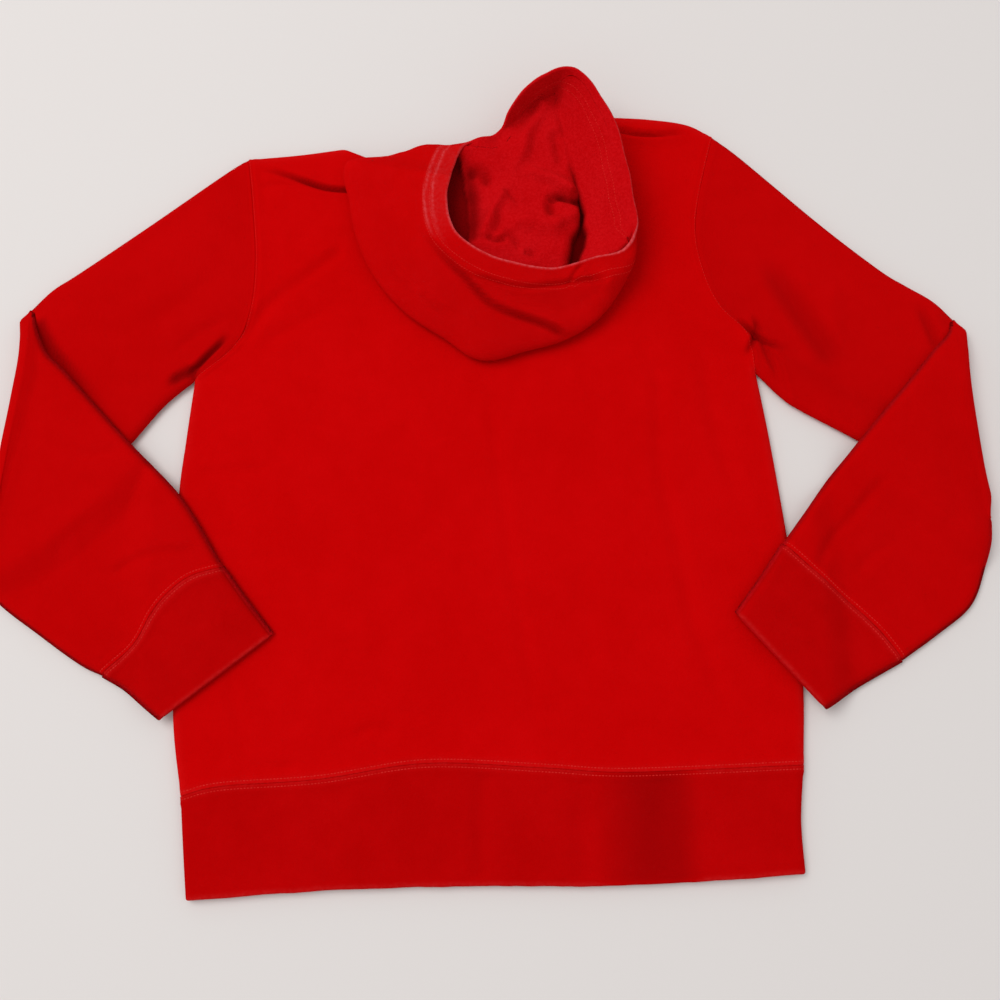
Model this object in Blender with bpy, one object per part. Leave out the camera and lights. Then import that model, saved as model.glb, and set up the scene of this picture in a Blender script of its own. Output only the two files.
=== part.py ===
"""Child's pullover hoodie in sweatshirt fleece, laid on its front with the hood back and open.

Front and back panels lie on each other. Each sleeve is a flattened tube whose forearm is folded
over at the elbow, so that its cuff rests on the back. The hood lies on the back as an open bag.

Sizes are millimetres in the garment's own frame: x runs across the body from its centre line,
y up from the hem to the neck, z up from the surface that the garment lies on. Every piece is a
wall of cloth between an outer and an inner sheet of points, which share one plan.
"""

import math
from typing import NamedTuple

import bmesh
import bpy
import numpy as np

MM = 0.001

# Cloth and the way it stacks.
CLOTH_WALL = 2.0
BAND_WALL = 3.0
HOOD_HEM_WALL = 3.0
SEAM_GAP = 0.3
LOFT = 7.5
FOLD_REACH = 6.0
FOLD_STEPS = 3
LAYER_CLEARANCE = 0.5
DRAPE_REACH = 26.0
DRAPE_MARGIN = 14.0
ELBOW_CREASE_RADIUS = 1.0
ELBOW_TURN_STEPS = 5
ELBOW_SETTLE = 35.0
UPPER_SLEEVE_ROWS = 7
FOREARM_ROWS = 9
# Share of a line's length over which its direction is measured.
TANGENT_STEP = 0.004
# A point nearer than this to a fold counts as lying on it.
ON_FOLD = 0.05

# The box of the whole garment is centred over the part's origin.
GARMENT_CENTRE = (-5.525, 302.647)

# Edges of the body, from the hem up.
HEM_EDGE = ((-219, -9), (-139, -3), (-68, 0), (-16, 1), (30, 1), (73, 1), (143, 4), (218, 9))
HEM_SEAM = ((-227, 62), (-198, 69), (-127, 74), (-52, 85), (31, 82), (80, 79), (131, 80), (221, 84))
LEFT_HEM_SIDE = ((-219, -9), (-223, 25), (-227, 62))
RIGHT_HEM_SIDE = ((218, 9), (217, 45), (221, 84))
LEFT_SIDE = ((-227, 62), (-236, 118), (-240, 203), (-242, 279), (-239, 326), (-235, 374))
RIGHT_SIDE = ((221, 84), (224, 137), (223, 196), (218, 252), (209, 326), (201, 380))
LEFT_ARMHOLE = ((-235, 374), (-205, 402), (-194, 431), (-192, 473), (-197, 525), (-202, 562))
RIGHT_ARMHOLE = (
    (201, 380), (195, 412), (175, 435), (163, 465), (158, 499), (163, 534), (175, 582)
)
LEFT_SHOULDER = ((-202, 562), (-161, 566), (-127, 571))
RIGHT_SHOULDER = ((93, 600), (125, 598), (155, 593), (175, 582))
BACK_NECK = ((-127, 571), (-85, 556), (-20, 546), (45, 561), (93, 600))
BACK_LENGTH_LINE = ((-20, 83), (-20, 546))
FRONT_NECK = ((-127, 571), (-95, 528), (-20, 500), (55, 535), (93, 600))
# Shares of the width at which the shoulders meet the neck, and the body's rows and columns.
SHOULDER_SHARES = (0.2, 0.78)
ARMHOLE_SHARE = 0.62
SIDE_ROWS = 8
ARMHOLE_ROWS = 7
SHOULDER_COLUMNS = 4
NECK_COLUMNS = 10
BAND_ROWS = 3

# Creases pressed into the back: start, end, depth and width of each soft trough.
BACK_CREASES = (
    ((-150, 552), (-108, 536), 2.0, 26.0),
    ((96, 590), (150, 585), 1.6, 24.0),
    ((-14, 385), (6, 250), 0.9, 34.0),
    ((128, 300), (152, 130), 0.9, 36.0),
    ((196, 392), (150, 372), 1.4, 22.0),
)


class SleeveShape(NamedTuple):
    """Plan edges of one sleeve, each listed from the armhole towards the cuff."""

    upper_top: tuple
    upper_underarm: tuple
    fold: tuple
    forearm_top: tuple
    forearm_under: tuple
    cuff_seam: tuple
    cuff_top: tuple
    cuff_under: tuple
    outward: float


LEFT_SLEEVE = SleeveShape(
    upper_top=((-202, 562), (-219, 551), (-279, 504), (-332, 462), (-352, 448), (-363, 433)),
    upper_underarm=((-235, 374), (-246, 364), (-261, 350), (-281, 323), (-331, 268), (-372, 240)),
    fold=((-363, 433), (-364, 398), (-366, 357), (-370, 318), (-373, 279), (-372, 240)),
    forearm_top=((-363, 433), (-356, 412), (-337, 380), (-278, 318), (-238, 277), (-205, 226)),
    forearm_under=((-372, 240), (-379, 226), (-372, 205), (-337, 178), (-306, 157), (-289, 149)),
    cuff_seam=((-205, 226), (-227, 219), (-244, 205), (-254, 191), (-265, 171), (-289, 149)),
    cuff_top=((-205, 226), (-187, 202), (-166, 176)),
    cuff_under=((-289, 149), (-268, 137), (-242, 117)),
    outward=-1.0,
)
RIGHT_SLEEVE = SleeveShape(
    upper_top=((175, 582), (197, 564), (259, 505), (304, 466), (323, 453), (344, 440), (356, 423)),
    upper_underarm=((201, 380), (219, 361), (234, 350), (280, 324), (320, 298), (361, 262)),
    fold=((356, 423), (357, 374), (360, 318), (361, 262)),
    forearm_top=((356, 423), (318, 370), (277, 323), (243, 281), (214, 243)),
    forearm_under=((361, 262), (368, 250), (365, 230), (352, 199), (327, 181), (297, 160)),
    cuff_seam=((214, 243), (235, 223), (250, 210), (266, 196), (282, 180), (297, 160)),
    cuff_top=((214, 243), (196, 217), (176, 191)),
    cuff_under=((297, 160), (264, 142), (235, 125)),
    outward=1.0,
)


class HoodSection(NamedTuple):
    """The hood cut along one direction from its centre: radius and height of four stations."""

    angle: float
    foot_r: float
    out_r: float
    out_z: float
    mid_r: float
    mid_z: float
    rim_r: float
    rim_z: float


HOOD_CENTRE = (35.0, 520.0)
HOOD_SECTIONS = (
    HoodSection(0, 36, 54, 18, 64, 31, 69, 43),
    HoodSection(20, 38, 55, 18, 65, 32, 68, 46),
    HoodSection(40, 48, 64, 20, 72, 36, 75, 49),
    HoodSection(56, 57, 74, 18, 80, 38, 83, 52),
    HoodSection(72, 69, 86, 16, 93, 38, 95, 55),
    HoodSection(80, 70, 87, 15, 94, 37, 96, 54),
    HoodSection(88, 66, 83, 14, 89, 35, 91, 51),
    HoodSection(100, 56, 72, 13, 80, 29, 83, 44),
    HoodSection(112, 48, 62, 11, 70, 21, 74, 33),
    HoodSection(119, 45, 57, 9, 65, 14, 69, 22),
    HoodSection(127, 44, 56, 8, 63, 11, 68, 15),
    HoodSection(138, 54, 66, 9, 72, 14, 74, 18),
    HoodSection(150, 94, 102, 12, 90, 18, 70, 22),
    HoodSection(158, 111, 118, 13, 99, 20, 68, 24),
    HoodSection(163, 127, 133, 13, 106, 21, 68, 26),
    HoodSection(168, 153, 160, 14, 114, 23, 68, 28),
    HoodSection(180, 147, 153, 14, 112, 24, 69, 30),
    HoodSection(205, 141, 147, 14, 110, 24, 69, 31),
    HoodSection(222, 136, 142, 14, 104, 24, 66, 32),
    HoodSection(236, 132, 138, 14, 100, 24, 64, 33),
    HoodSection(250, 135, 141, 14, 98, 24, 61, 34),
    HoodSection(264, 120, 126, 14, 96, 24, 62, 34),
    HoodSection(278, 111, 118, 15, 94, 25, 64, 34),
    HoodSection(292, 100, 110, 17, 93, 28, 65, 35),
    HoodSection(306, 86, 100, 20, 89, 32, 69, 35),
    HoodSection(320, 65, 90, 22, 91, 31, 83, 37),
    HoodSection(336, 47, 71, 19, 79, 30, 81, 38),
    HoodSection(350, 38, 58, 18, 69, 31, 72, 41),
)
HOOD_COLUMN_STEP = 8.0
HOOD_FINE_STEP = 5.0
HOOD_FINE_END = 170.0
HOOD_HEM_WIDTH = 21.0
HOOD_HEM_STEP = 8.0
# Radii of the floor's inner rows, then shares of each run of a section: on along its floor,
# round its foot, up its side and to its rim.
FLOOR_RADII = (0.0, 10.0, 20.0, 30.0)
FLOOR_SHARES = (0.35, 1.0)
FLOOR_ROWS = len(FLOOR_RADII) + len(FLOOR_SHARES)
FOOT_SHARES = (0.35, 0.7)
SIDE_SHARES = (0.0, 0.12, 0.28, 0.6, 1.0)
RIM_SHARES = (0.35, 0.7, 1.0)
# How strongly a section's curve leaves its stations; the first one makes a quarter circle.
QUARTER_TURN_PULL = 1.17
SIDE_PULL = 0.75
# The centre seam leaves the rim here, runs under the belly to the crown tip and on to the neck.
SEAM_FOREHEAD = 320.0
SEAM_CROWN = 250.0
SEAM_THROAT = 125.0
# The floor stays flat beside the seam, out to this reach from the centre.
SEAM_REACH = 160.0
SEAM_FLAT_WIDTH = 16.0
# Ridges of the bunched cloth on the hood's floor: start, end, height and width of each.
HOOD_FOLDS = (
    ((-2, 520), (34, 548), 7.0, 16.0),
    ((18, 492), (52, 512), 8.0, 16.0),
    ((40, 560), (62, 535), 6.0, 14.0),
    ((-10, 555), (22, 572), 5.0, 16.0),
    ((52, 480), (70, 500), 5.0, 12.0),
)
# The upper layer of the hood laps over the lower one along this trough.
HOOD_LAP = ((-45, 481), (-29, 461), (-3, 437), (15, 428), (38, 421))
HOOD_LAP_DEPTH = 3.0
HOOD_LAP_WIDTH = 12.0

# Rows down and columns across from a point to each of its four neighbours.
NEIGHBOURS = ((-1, 0), (1, 0), (0, -1), (0, 1))
# Share of a seam gap by which each of its two sides draws back.
SEAM_DRAW = 0.55

RED = (0.48, 0.004, 0.006, 1.0)
RED_WORN = (0.52, 0.008, 0.012, 1.0)


def smooth_step(value):
    """Ease from 0 to 1 as value goes from 0 to 1."""
    clamped = np.clip(value, 0.0, 1.0)
    return clamped * clamped * (3.0 - 2.0 * clamped)


class Curve:
    """A smooth line through a few points, read by its share of length."""

    SAMPLES = 12

    def __init__(self, points):
        knots = np.array(points, dtype=float)
        ends = (2 * knots[:1] - knots[1:2], knots, 2 * knots[-1:] - knots[-2:-1])
        padded = np.concatenate(ends)
        steps = np.linspace(0.0, 1.0, self.SAMPLES, endpoint=False)[:, None]
        spans = []
        for before, start, end, after in zip(padded, padded[1:], padded[2:], padded[3:]):
            spans.append(catmull_rom(before, start, end, after, steps))
        self.line = np.concatenate(spans + [knots[-1:]])
        lengths = np.linalg.norm(np.diff(self.line, axis=0), axis=1)
        self.length = float(lengths.sum())
        self.shares = np.concatenate(([0.0], np.cumsum(lengths))) / self.length

    def at(self, shares):
        """Points at the given shares of the length."""
        return np.stack([np.interp(shares, self.shares, axis) for axis in self.line.T], axis=-1)


def catmull_rom(before, start, end, after, step):
    """Point of the curve from start to end that also heeds the points before and after."""
    return hermite(start, (end - before) / 2, end, (after - start) / 2, step)


def hermite(start, pull_start, end, pull_end, step):
    """Point of the cubic from start to end that leaves and arrives along the two pulls."""
    square = step * step
    cube = square * step
    return (
        (2 * cube - 3 * square + 1) * start
        + (cube - 2 * square + step) * pull_start
        + (3 * square - 2 * cube) * end
        + (cube - square) * pull_end
    )


class Folds:
    """The folded edges of a flattened layer, walked with the cloth on their left."""

    def __init__(self, *lines):
        starts, ends, start_normals, end_normals = [], [], [], []
        for line in lines:
            tangents = np.diff(line, axis=0)
            tangents /= np.linalg.norm(tangents, axis=1)[:, None]
            inward = np.stack([-tangents[:, 1], tangents[:, 0]], axis=-1)
            corner = np.concatenate([inward[:1], inward[:-1] + inward[1:], inward[-1:]])
            corner /= np.linalg.norm(corner, axis=1)[:, None]
            starts.append(line[:-1])
            ends.append(line[1:])
            start_normals.append(corner[:-1])
            end_normals.append(corner[1:])
        self.starts = np.concatenate(starts)
        self.runs = np.concatenate(ends) - self.starts
        self.start_normals = np.concatenate(start_normals)
        self.end_normals = np.concatenate(end_normals)

    def nearest(self, plan):
        """Distance of each plan point from the nearest fold, and the direction away from it."""
        points = plan.reshape(-1, 1, 2)
        along = ((points - self.starts) * self.runs).sum(-1) / (self.runs**2).sum(-1)
        along = np.clip(along, 0.0, 1.0)[..., None]
        away = points - (self.starts + along * self.runs)
        distance = np.linalg.norm(away, axis=-1)
        best = distance.argmin(axis=1)
        row = np.arange(len(best))
        share = along[row, best]
        normal = (1 - share) * self.start_normals[best] + share * self.end_normals[best]
        reach = distance[row, best][:, None]
        on_fold = reach < ON_FOLD
        direction = np.where(on_fold, normal, away[row, best] / np.maximum(reach, ON_FOLD))
        return reach.reshape(plan.shape[:-1]), direction.reshape(plan.shape)


def spread(length, count, folded_ends=True):
    """Shares of a width: equal steps, with closer ones where the cloth folds round at its ends."""
    turn = np.radians(np.linspace(0.0, 90.0, FOLD_STEPS + 1))
    edge = FOLD_REACH * (1 - np.cos(turn)) / length if folded_ends else np.zeros(1)
    middle = np.linspace(edge[-1], 1 - edge[-1], count + 1)
    return np.concatenate([edge[:-1], middle, 1 - edge[-2::-1]])


def stretch(bottom, top, left, right, across, along):
    """Plan of a sheet stretched between four rows of edge points."""
    u = across[None, :, None]
    v = along[:, None, None]
    low = (1 - u) * bottom[0] + u * bottom[-1]
    high = (1 - u) * top[0] + u * top[-1]
    ruled = (1 - v) * bottom[None] + v * top[None] + (1 - u) * left[:, None] + u * right[:, None]
    return ruled - (1 - v) * low - v * high


def parted(line, shares, side, fixed):
    """Points of a seam line, moved half a seam gap off it; side 1 is to its left.

    fixed lists the shares of its length that stay on the line.
    """
    curve = Curve(line)
    tangents = curve.at(shares + TANGENT_STEP) - curve.at(shares - TANGENT_STEP)
    tangents /= np.linalg.norm(tangents, axis=1)[:, None]
    normals = np.stack([-tangents[:, 1], tangents[:, 0]], axis=-1)
    moved = ~np.isin(shares, fixed)
    return curve.at(shares) + normals * (side * SEAM_GAP / 2 * moved)[:, None]


def trough(plan, start, end, width):
    """Strength, 0 to 1, of a soft trough or ridge along a straight run."""
    start, end = np.array(start, dtype=float), np.array(end, dtype=float)
    run = end - start
    along = ((plan - start) * run).sum(-1) / (run @ run)
    reach = np.linalg.norm(plan - (start + np.clip(along, 0, 1)[..., None] * run), axis=-1)
    return smooth_step(1 - reach / width)


def pressed_layer(plan, folds, side, wall, seam=0.0):
    """Outer and inner points of one layer of a flattened tube.

    side is 1 for the layer that faces up and -1 for the one that lies on the floor. seam is the
    gap left at the folded edge where the layer ends there instead of turning round it.
    """
    reach, inward = folds.nearest(plan)
    edge = np.clip(1 - reach / FOLD_REACH, 0.0, 1.0)
    rise = np.sqrt(1 - edge**2)
    half = LOFT / 2
    outer_z = half + side * (seam / 2 + (half - seam / 2) * rise)
    inner_z = half + side * (seam / 2 + (half - seam / 2 - wall) * rise)
    shifted = plan + inward * (wall * edge)[..., None]
    outer = np.concatenate([plan, outer_z[..., None]], axis=-1)
    inner = np.concatenate([shifted, inner_z[..., None]], axis=-1)
    return outer, inner


def pressed_tube(plan, folds, wall):
    """Outer and inner rings of a flattened tube: each row goes over the top and back below."""
    top = pressed_layer(plan, folds, 1, wall)
    bottom = pressed_layer(plan[:, -2:0:-1], folds, -1, wall)
    return tuple(np.concatenate(pair, axis=1) for pair in zip(top, bottom))


def lift(sheet, height):
    """The sheet with each point raised."""
    raised = sheet.copy()
    raised[..., 2] += height
    return raised


class GroundPlan:
    """Where the body and the upper sleeves lie, and how high cloth on top of them rests."""

    def __init__(self, shapes):
        left, right = shapes
        left_under = chain(LEFT_SIDE, left.upper_underarm)[::-1]
        right_under = chain(RIGHT_SIDE, right.upper_underarm)
        left_top = chain(LEFT_SHOULDER[::-1], left.upper_top)
        right_top = chain(RIGHT_SHOULDER, right.upper_top)[::-1]
        left_hem = Curve(LEFT_HEM_SIDE).line
        right_hem = Curve(RIGHT_HEM_SIDE).line
        self.folds = Folds(
            np.concatenate([left_under, left_hem[-2::-1]]),
            np.concatenate([right_hem[:-1], right_under]),
            left_top,
            right_top,
        )
        neck = Curve(BACK_NECK).line[::-1]
        self.border = np.concatenate([left_under, right_under, right_top, neck, left_top])

    def depth_inside(self, plan):
        """How far each point lies inside the border, negative outside it."""
        points = plan.reshape(-1, 2)
        starts = self.border
        ends = np.roll(starts, -1, axis=0)
        x, y = points[:, :1], points[:, 1:]
        straddles = (starts[:, 1] > y) != (ends[:, 1] > y)
        rise = np.where(ends[:, 1] == starts[:, 1], 1.0, ends[:, 1] - starts[:, 1])
        crossing = starts[:, 0] + (y - starts[:, 1]) * (ends[:, 0] - starts[:, 0]) / rise
        inside = (straddles & (crossing > x)).sum(axis=1) % 2 == 1
        runs = ends - starts
        along = ((points[:, None] - starts) * runs).sum(-1) / np.maximum((runs**2).sum(-1), 1e-9)
        nearest = starts + np.clip(along, 0, 1)[..., None] * runs
        reach = np.linalg.norm(points[:, None] - nearest, axis=-1).min(axis=1)
        return np.where(inside, reach, -reach).reshape(plan.shape[:-1])

    def rest_height(self, plan):
        """Height at which cloth rests here: on the lower layers, draped down to the floor."""
        outside = -self.depth_inside(plan) - DRAPE_MARGIN
        return (LOFT + LAYER_CLEARANCE) * smooth_step(1 - outside / DRAPE_REACH)


def chain(*parts):
    """One line through several curves that meet end to end."""
    lines = [Curve(part).line for part in parts]
    return np.concatenate([line[:-1] for line in lines[:-1]] + [lines[-1]])


def wall_solid(name, outer, inner, colour, ring=False, keep=None):
    """One closed wall of cloth between two sheets with the same rows and columns of points.

    ring joins the last column to the first. keep is a table of the cells that the piece has.
    """
    rows, columns = outer.shape[:2]
    cells_across = columns if ring else columns - 1
    mesh = bmesh.new()
    spot = mesh.verts.layers.int.new("spot")
    bmesh.ops.create_grid(mesh, x_segments=cells_across, y_segments=rows - 1, size=1.0)
    if keep is not None:
        spare = []
        for face in mesh.faces:
            centre = face.calc_center_median()
            column = int((centre.x + 1) / 2 * cells_across)
            row = int((centre.y + 1) / 2 * (rows - 1))
            if not keep[row, column]:
                spare.append(face)
        bmesh.ops.delete(mesh, geom=spare, context="FACES")
    for vertex in mesh.verts:
        column = round((vertex.co.x + 1) / 2 * cells_across) % columns
        row = round((vertex.co.y + 1) / 2 * (rows - 1))
        vertex[spot] = row * columns + column
        vertex.co = outer[row, column] * MM
    bmesh.ops.remove_doubles(mesh, verts=mesh.verts[:], dist=1e-6)
    pushed = bmesh.ops.extrude_face_region(mesh, geom=mesh.faces[:])["geom"]
    for vertex in pushed:
        if isinstance(vertex, bmesh.types.BMVert):
            vertex.co = inner[divmod(vertex[spot], columns)] * MM
    bmesh.ops.recalc_face_normals(mesh, faces=mesh.faces[:])
    if mesh.calc_volume(signed=True) < 0:
        bmesh.ops.reverse_faces(mesh, faces=mesh.faces[:])
    shift = (-GARMENT_CENTRE[0] * MM, -GARMENT_CENTRE[1] * MM, 0.0)
    bmesh.ops.translate(mesh, verts=mesh.verts[:], vec=shift)
    data = bpy.data.meshes.new(name)
    mesh.to_mesh(data)
    mesh.free()
    data.shade_smooth()
    data.set_sharp_from_angle(angle=math.radians(50))
    data.materials.append(fleece(name, colour))
    piece = bpy.data.objects.new(name, data)
    bpy.context.scene.collection.objects.link(piece)
    return piece


def fleece(name, colour):
    """Matt dyed cotton fleece."""
    material = bpy.data.materials.new(name + "_fleece")
    material.use_nodes = True
    shader = material.node_tree.nodes["Principled BSDF"]
    shader.inputs["Base Color"].default_value = colour
    shader.inputs["Roughness"].default_value = 0.95
    shader.inputs["Metallic"].default_value = 0.0
    return material


def armhole_shares():
    """Shares of an armhole's length that the body's rows and the sleeves' columns both meet."""
    return spread(Curve(LEFT_ARMHOLE).length, ARMHOLE_ROWS)


class BodyGrid:
    """Rows and columns that the front, the back and the hem band share."""

    def __init__(self):
        self.columns = self.column_shares()
        self.armhole_rows = armhole_shares()
        self.side_rows = np.linspace(0.0, 1.0, SIDE_ROWS, endpoint=False)
        armhole_rows = ARMHOLE_SHARE + self.armhole_rows * (1 - ARMHOLE_SHARE)
        self.rows = np.concatenate([self.side_rows * ARMHOLE_SHARE, armhole_rows])
        self.rows[0] = SEAM_GAP / 2 / Curve(BACK_LENGTH_LINE).length

    @staticmethod
    def column_shares():
        """Columns that keep the neck points and close up towards the side folds."""
        edges = spread(Curve(HEM_SEAM).length, 2)
        near = edges[: FOLD_STEPS + 1]
        far = edges[-FOLD_STEPS - 1 :]
        left = np.linspace(near[-1], SHOULDER_SHARES[0], SHOULDER_COLUMNS + 1)[1:-1]
        neck = np.linspace(*SHOULDER_SHARES, NECK_COLUMNS + 1)
        right = np.linspace(SHOULDER_SHARES[1], far[0], SHOULDER_COLUMNS + 1)[1:-1]
        return np.concatenate([near, left, neck, right, far])

    def top_edge(self, neck):
        """Points of the shoulders and the neckline, one for each column."""
        low, high = SHOULDER_SHARES
        shares = self.columns
        points = Curve(neck).at((shares - low) / (high - low))
        left = Curve(LEFT_SHOULDER).at(shares / low)
        right = Curve(RIGHT_SHOULDER).at((shares - high) / (1 - high))
        points = np.where((shares <= low)[:, None], left, points)
        return np.where((shares >= high)[:, None], right, points)

    def side_edge(self, side, armhole, outward):
        """Points up one side and round its armhole, one for each row."""
        round_armhole = parted(armhole, self.armhole_rows, outward, fixed=(1.0,))
        return np.concatenate([Curve(side).at(self.side_rows), round_armhole])

    def panel(self, neck):
        """Plan of the front or back, from the hem band's seam up to the neck."""
        left = self.side_edge(LEFT_SIDE, LEFT_ARMHOLE, LEFT_SLEEVE.outward)
        right = self.side_edge(RIGHT_SIDE, RIGHT_ARMHOLE, RIGHT_SLEEVE.outward)
        bottom = Curve(HEM_SEAM).at(self.columns)
        return stretch(bottom, self.top_edge(neck), left, right, self.columns, self.rows)

    def band(self):
        """Plan of the hem band, from the hem up to its seam."""
        rows = np.linspace(0.0, 1.0 - SEAM_GAP / 2 / Curve(LEFT_HEM_SIDE).length, BAND_ROWS + 1)
        bottom = Curve(HEM_EDGE).at(self.columns)
        top = Curve(HEM_SEAM).at(self.columns)
        left = Curve(LEFT_HEM_SIDE).at(rows)
        right = Curve(RIGHT_HEM_SIDE).at(rows)
        return stretch(bottom, top, left, right, self.columns, rows)


def build_body(ground):
    """Front, back and hem band, pressed flat on each other."""
    grid = BodyGrid()
    back_plan = grid.panel(BACK_NECK)
    sunk = np.zeros(back_plan.shape[:-1])
    for start, end, depth, width in BACK_CREASES:
        sunk -= depth * trough(back_plan, start, end, width)
    reach, _ = ground.folds.nearest(back_plan)
    sunk *= smooth_step(reach / (2 * FOLD_REACH))
    outer, inner = pressed_layer(back_plan, ground.folds, 1, CLOTH_WALL, SEAM_GAP)
    wall_solid("back", lift(outer, sunk), lift(inner, sunk), RED)
    outer, inner = pressed_layer(grid.panel(FRONT_NECK), ground.folds, -1, CLOTH_WALL, SEAM_GAP)
    wall_solid("front", outer, inner, RED)
    outer, inner = pressed_tube(grid.band(), ground.folds, BAND_WALL)
    wall_solid("hem_band", outer, inner, RED, ring=True)


def build_sleeve(ground, name, shape, armhole):
    """A sleeve as one folded tube, and its cuff."""
    across = armhole_shares()
    upper = upper_sleeve_plan(shape, armhole, across)
    rings = pressed_tube(upper, ground.folds, CLOTH_WALL)
    axis = LOFT + ELBOW_CREASE_RADIUS
    turned = [turn_at_elbow(sheet, axis, shape.outward) for sheet in rings]
    forearm, cuff = forearm_rings(ground, shape, across)
    outer, inner = (np.concatenate(parts) for parts in zip(rings, turned, forearm))
    wall_solid("sleeve_" + name, outer, inner, RED, ring=True)
    wall_solid("cuff_" + name, *cuff, RED, ring=True)


def upper_sleeve_plan(shape, armhole, across):
    """Plan of the upper sleeve, from the armhole to the fold; columns go shoulder to underarm."""
    rows = np.linspace(0.0, 1.0, UPPER_SLEEVE_ROWS + 1)
    rows[0] = SEAM_GAP / 2 / Curve(shape.upper_underarm).length
    start = parted(armhole[::-1], across, shape.outward, fixed=(0.0, 1.0))
    end = Curve(shape.fold).at(across)
    top = Curve(shape.upper_top).at(rows)
    under = Curve(shape.upper_underarm).at(rows)
    return stretch(start, end, top, under, across, rows)


def turn_at_elbow(sheet, axis, outward):
    """Rings that carry the last ring of the sheet over the elbow fold, onto the sleeve."""
    last = sheet[-1]
    radius = axis - last[:, 2]
    rings = []
    for turn in np.radians(np.linspace(0.0, 180.0, ELBOW_TURN_STEPS + 1))[1:]:
        ring = last.copy()
        ring[:, 0] += outward * radius * math.sin(turn)
        ring[:, 2] = axis - radius * math.cos(turn)
        rings.append(ring)
    return np.array(rings)


def forearm_rings(ground, shape, across):
    """Outer and inner rings of the forearm past the fold, and those of the cuff."""
    top_line = chain(shape.forearm_top, shape.cuff_top)
    under_line = chain(shape.forearm_under, shape.cuff_under)
    lines = (top_line[::-1], under_line) if shape.outward > 0 else (top_line, under_line[::-1])
    folds = Folds(*lines)
    length = Curve(shape.forearm_top).length
    rows = np.linspace(0.0, 1.0, FOREARM_ROWS + 1)[1:]
    rows[-1] = 1 - SEAM_GAP / 2 / length
    fold = Curve(shape.fold).at(across)
    seam = Curve(shape.cuff_seam).at(across)
    sides = (Curve(shape.forearm_top).at(rows), Curve(shape.forearm_under).at(rows))
    sleeve_plan = stretch(fold, seam, *sides, across, rows)
    cuff_rows = np.linspace(SEAM_GAP / 2 / Curve(shape.cuff_top).length, 1.0, BAND_ROWS + 1)
    cuff_end = Curve((shape.cuff_top[-1], shape.cuff_under[-1])).at(across)
    sides = (Curve(shape.cuff_top).at(cuff_rows), Curve(shape.cuff_under).at(cuff_rows))
    cuff_plan = stretch(seam, cuff_end, *sides, across, cuff_rows)
    settled = smooth_step(rows * length / ELBOW_SETTLE)[:, None]
    raised = LOFT + 2 * ELBOW_CREASE_RADIUS
    sleeve_base = raised * (1 - settled) + ground.rest_height(sleeve_plan) * settled
    sleeve = draped_tube(sleeve_plan, sleeve_base, folds, CLOTH_WALL)
    cuff = draped_tube(cuff_plan, ground.rest_height(cuff_plan), folds, BAND_WALL)
    return sleeve, cuff


def draped_tube(plan, base, folds, wall):
    """A flattened tube on uneven ground, whose rings start with the layer that lies below."""
    below = pressed_layer(plan, folds, -1, wall)
    above = pressed_layer(plan[:, -2:0:-1], folds, 1, wall)
    lower = [lift(sheet, base) for sheet in below]
    upper = [lift(sheet, base[:, -2:0:-1]) for sheet in above]
    return tuple(np.concatenate(pair, axis=1) for pair in zip(lower, upper))


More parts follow.
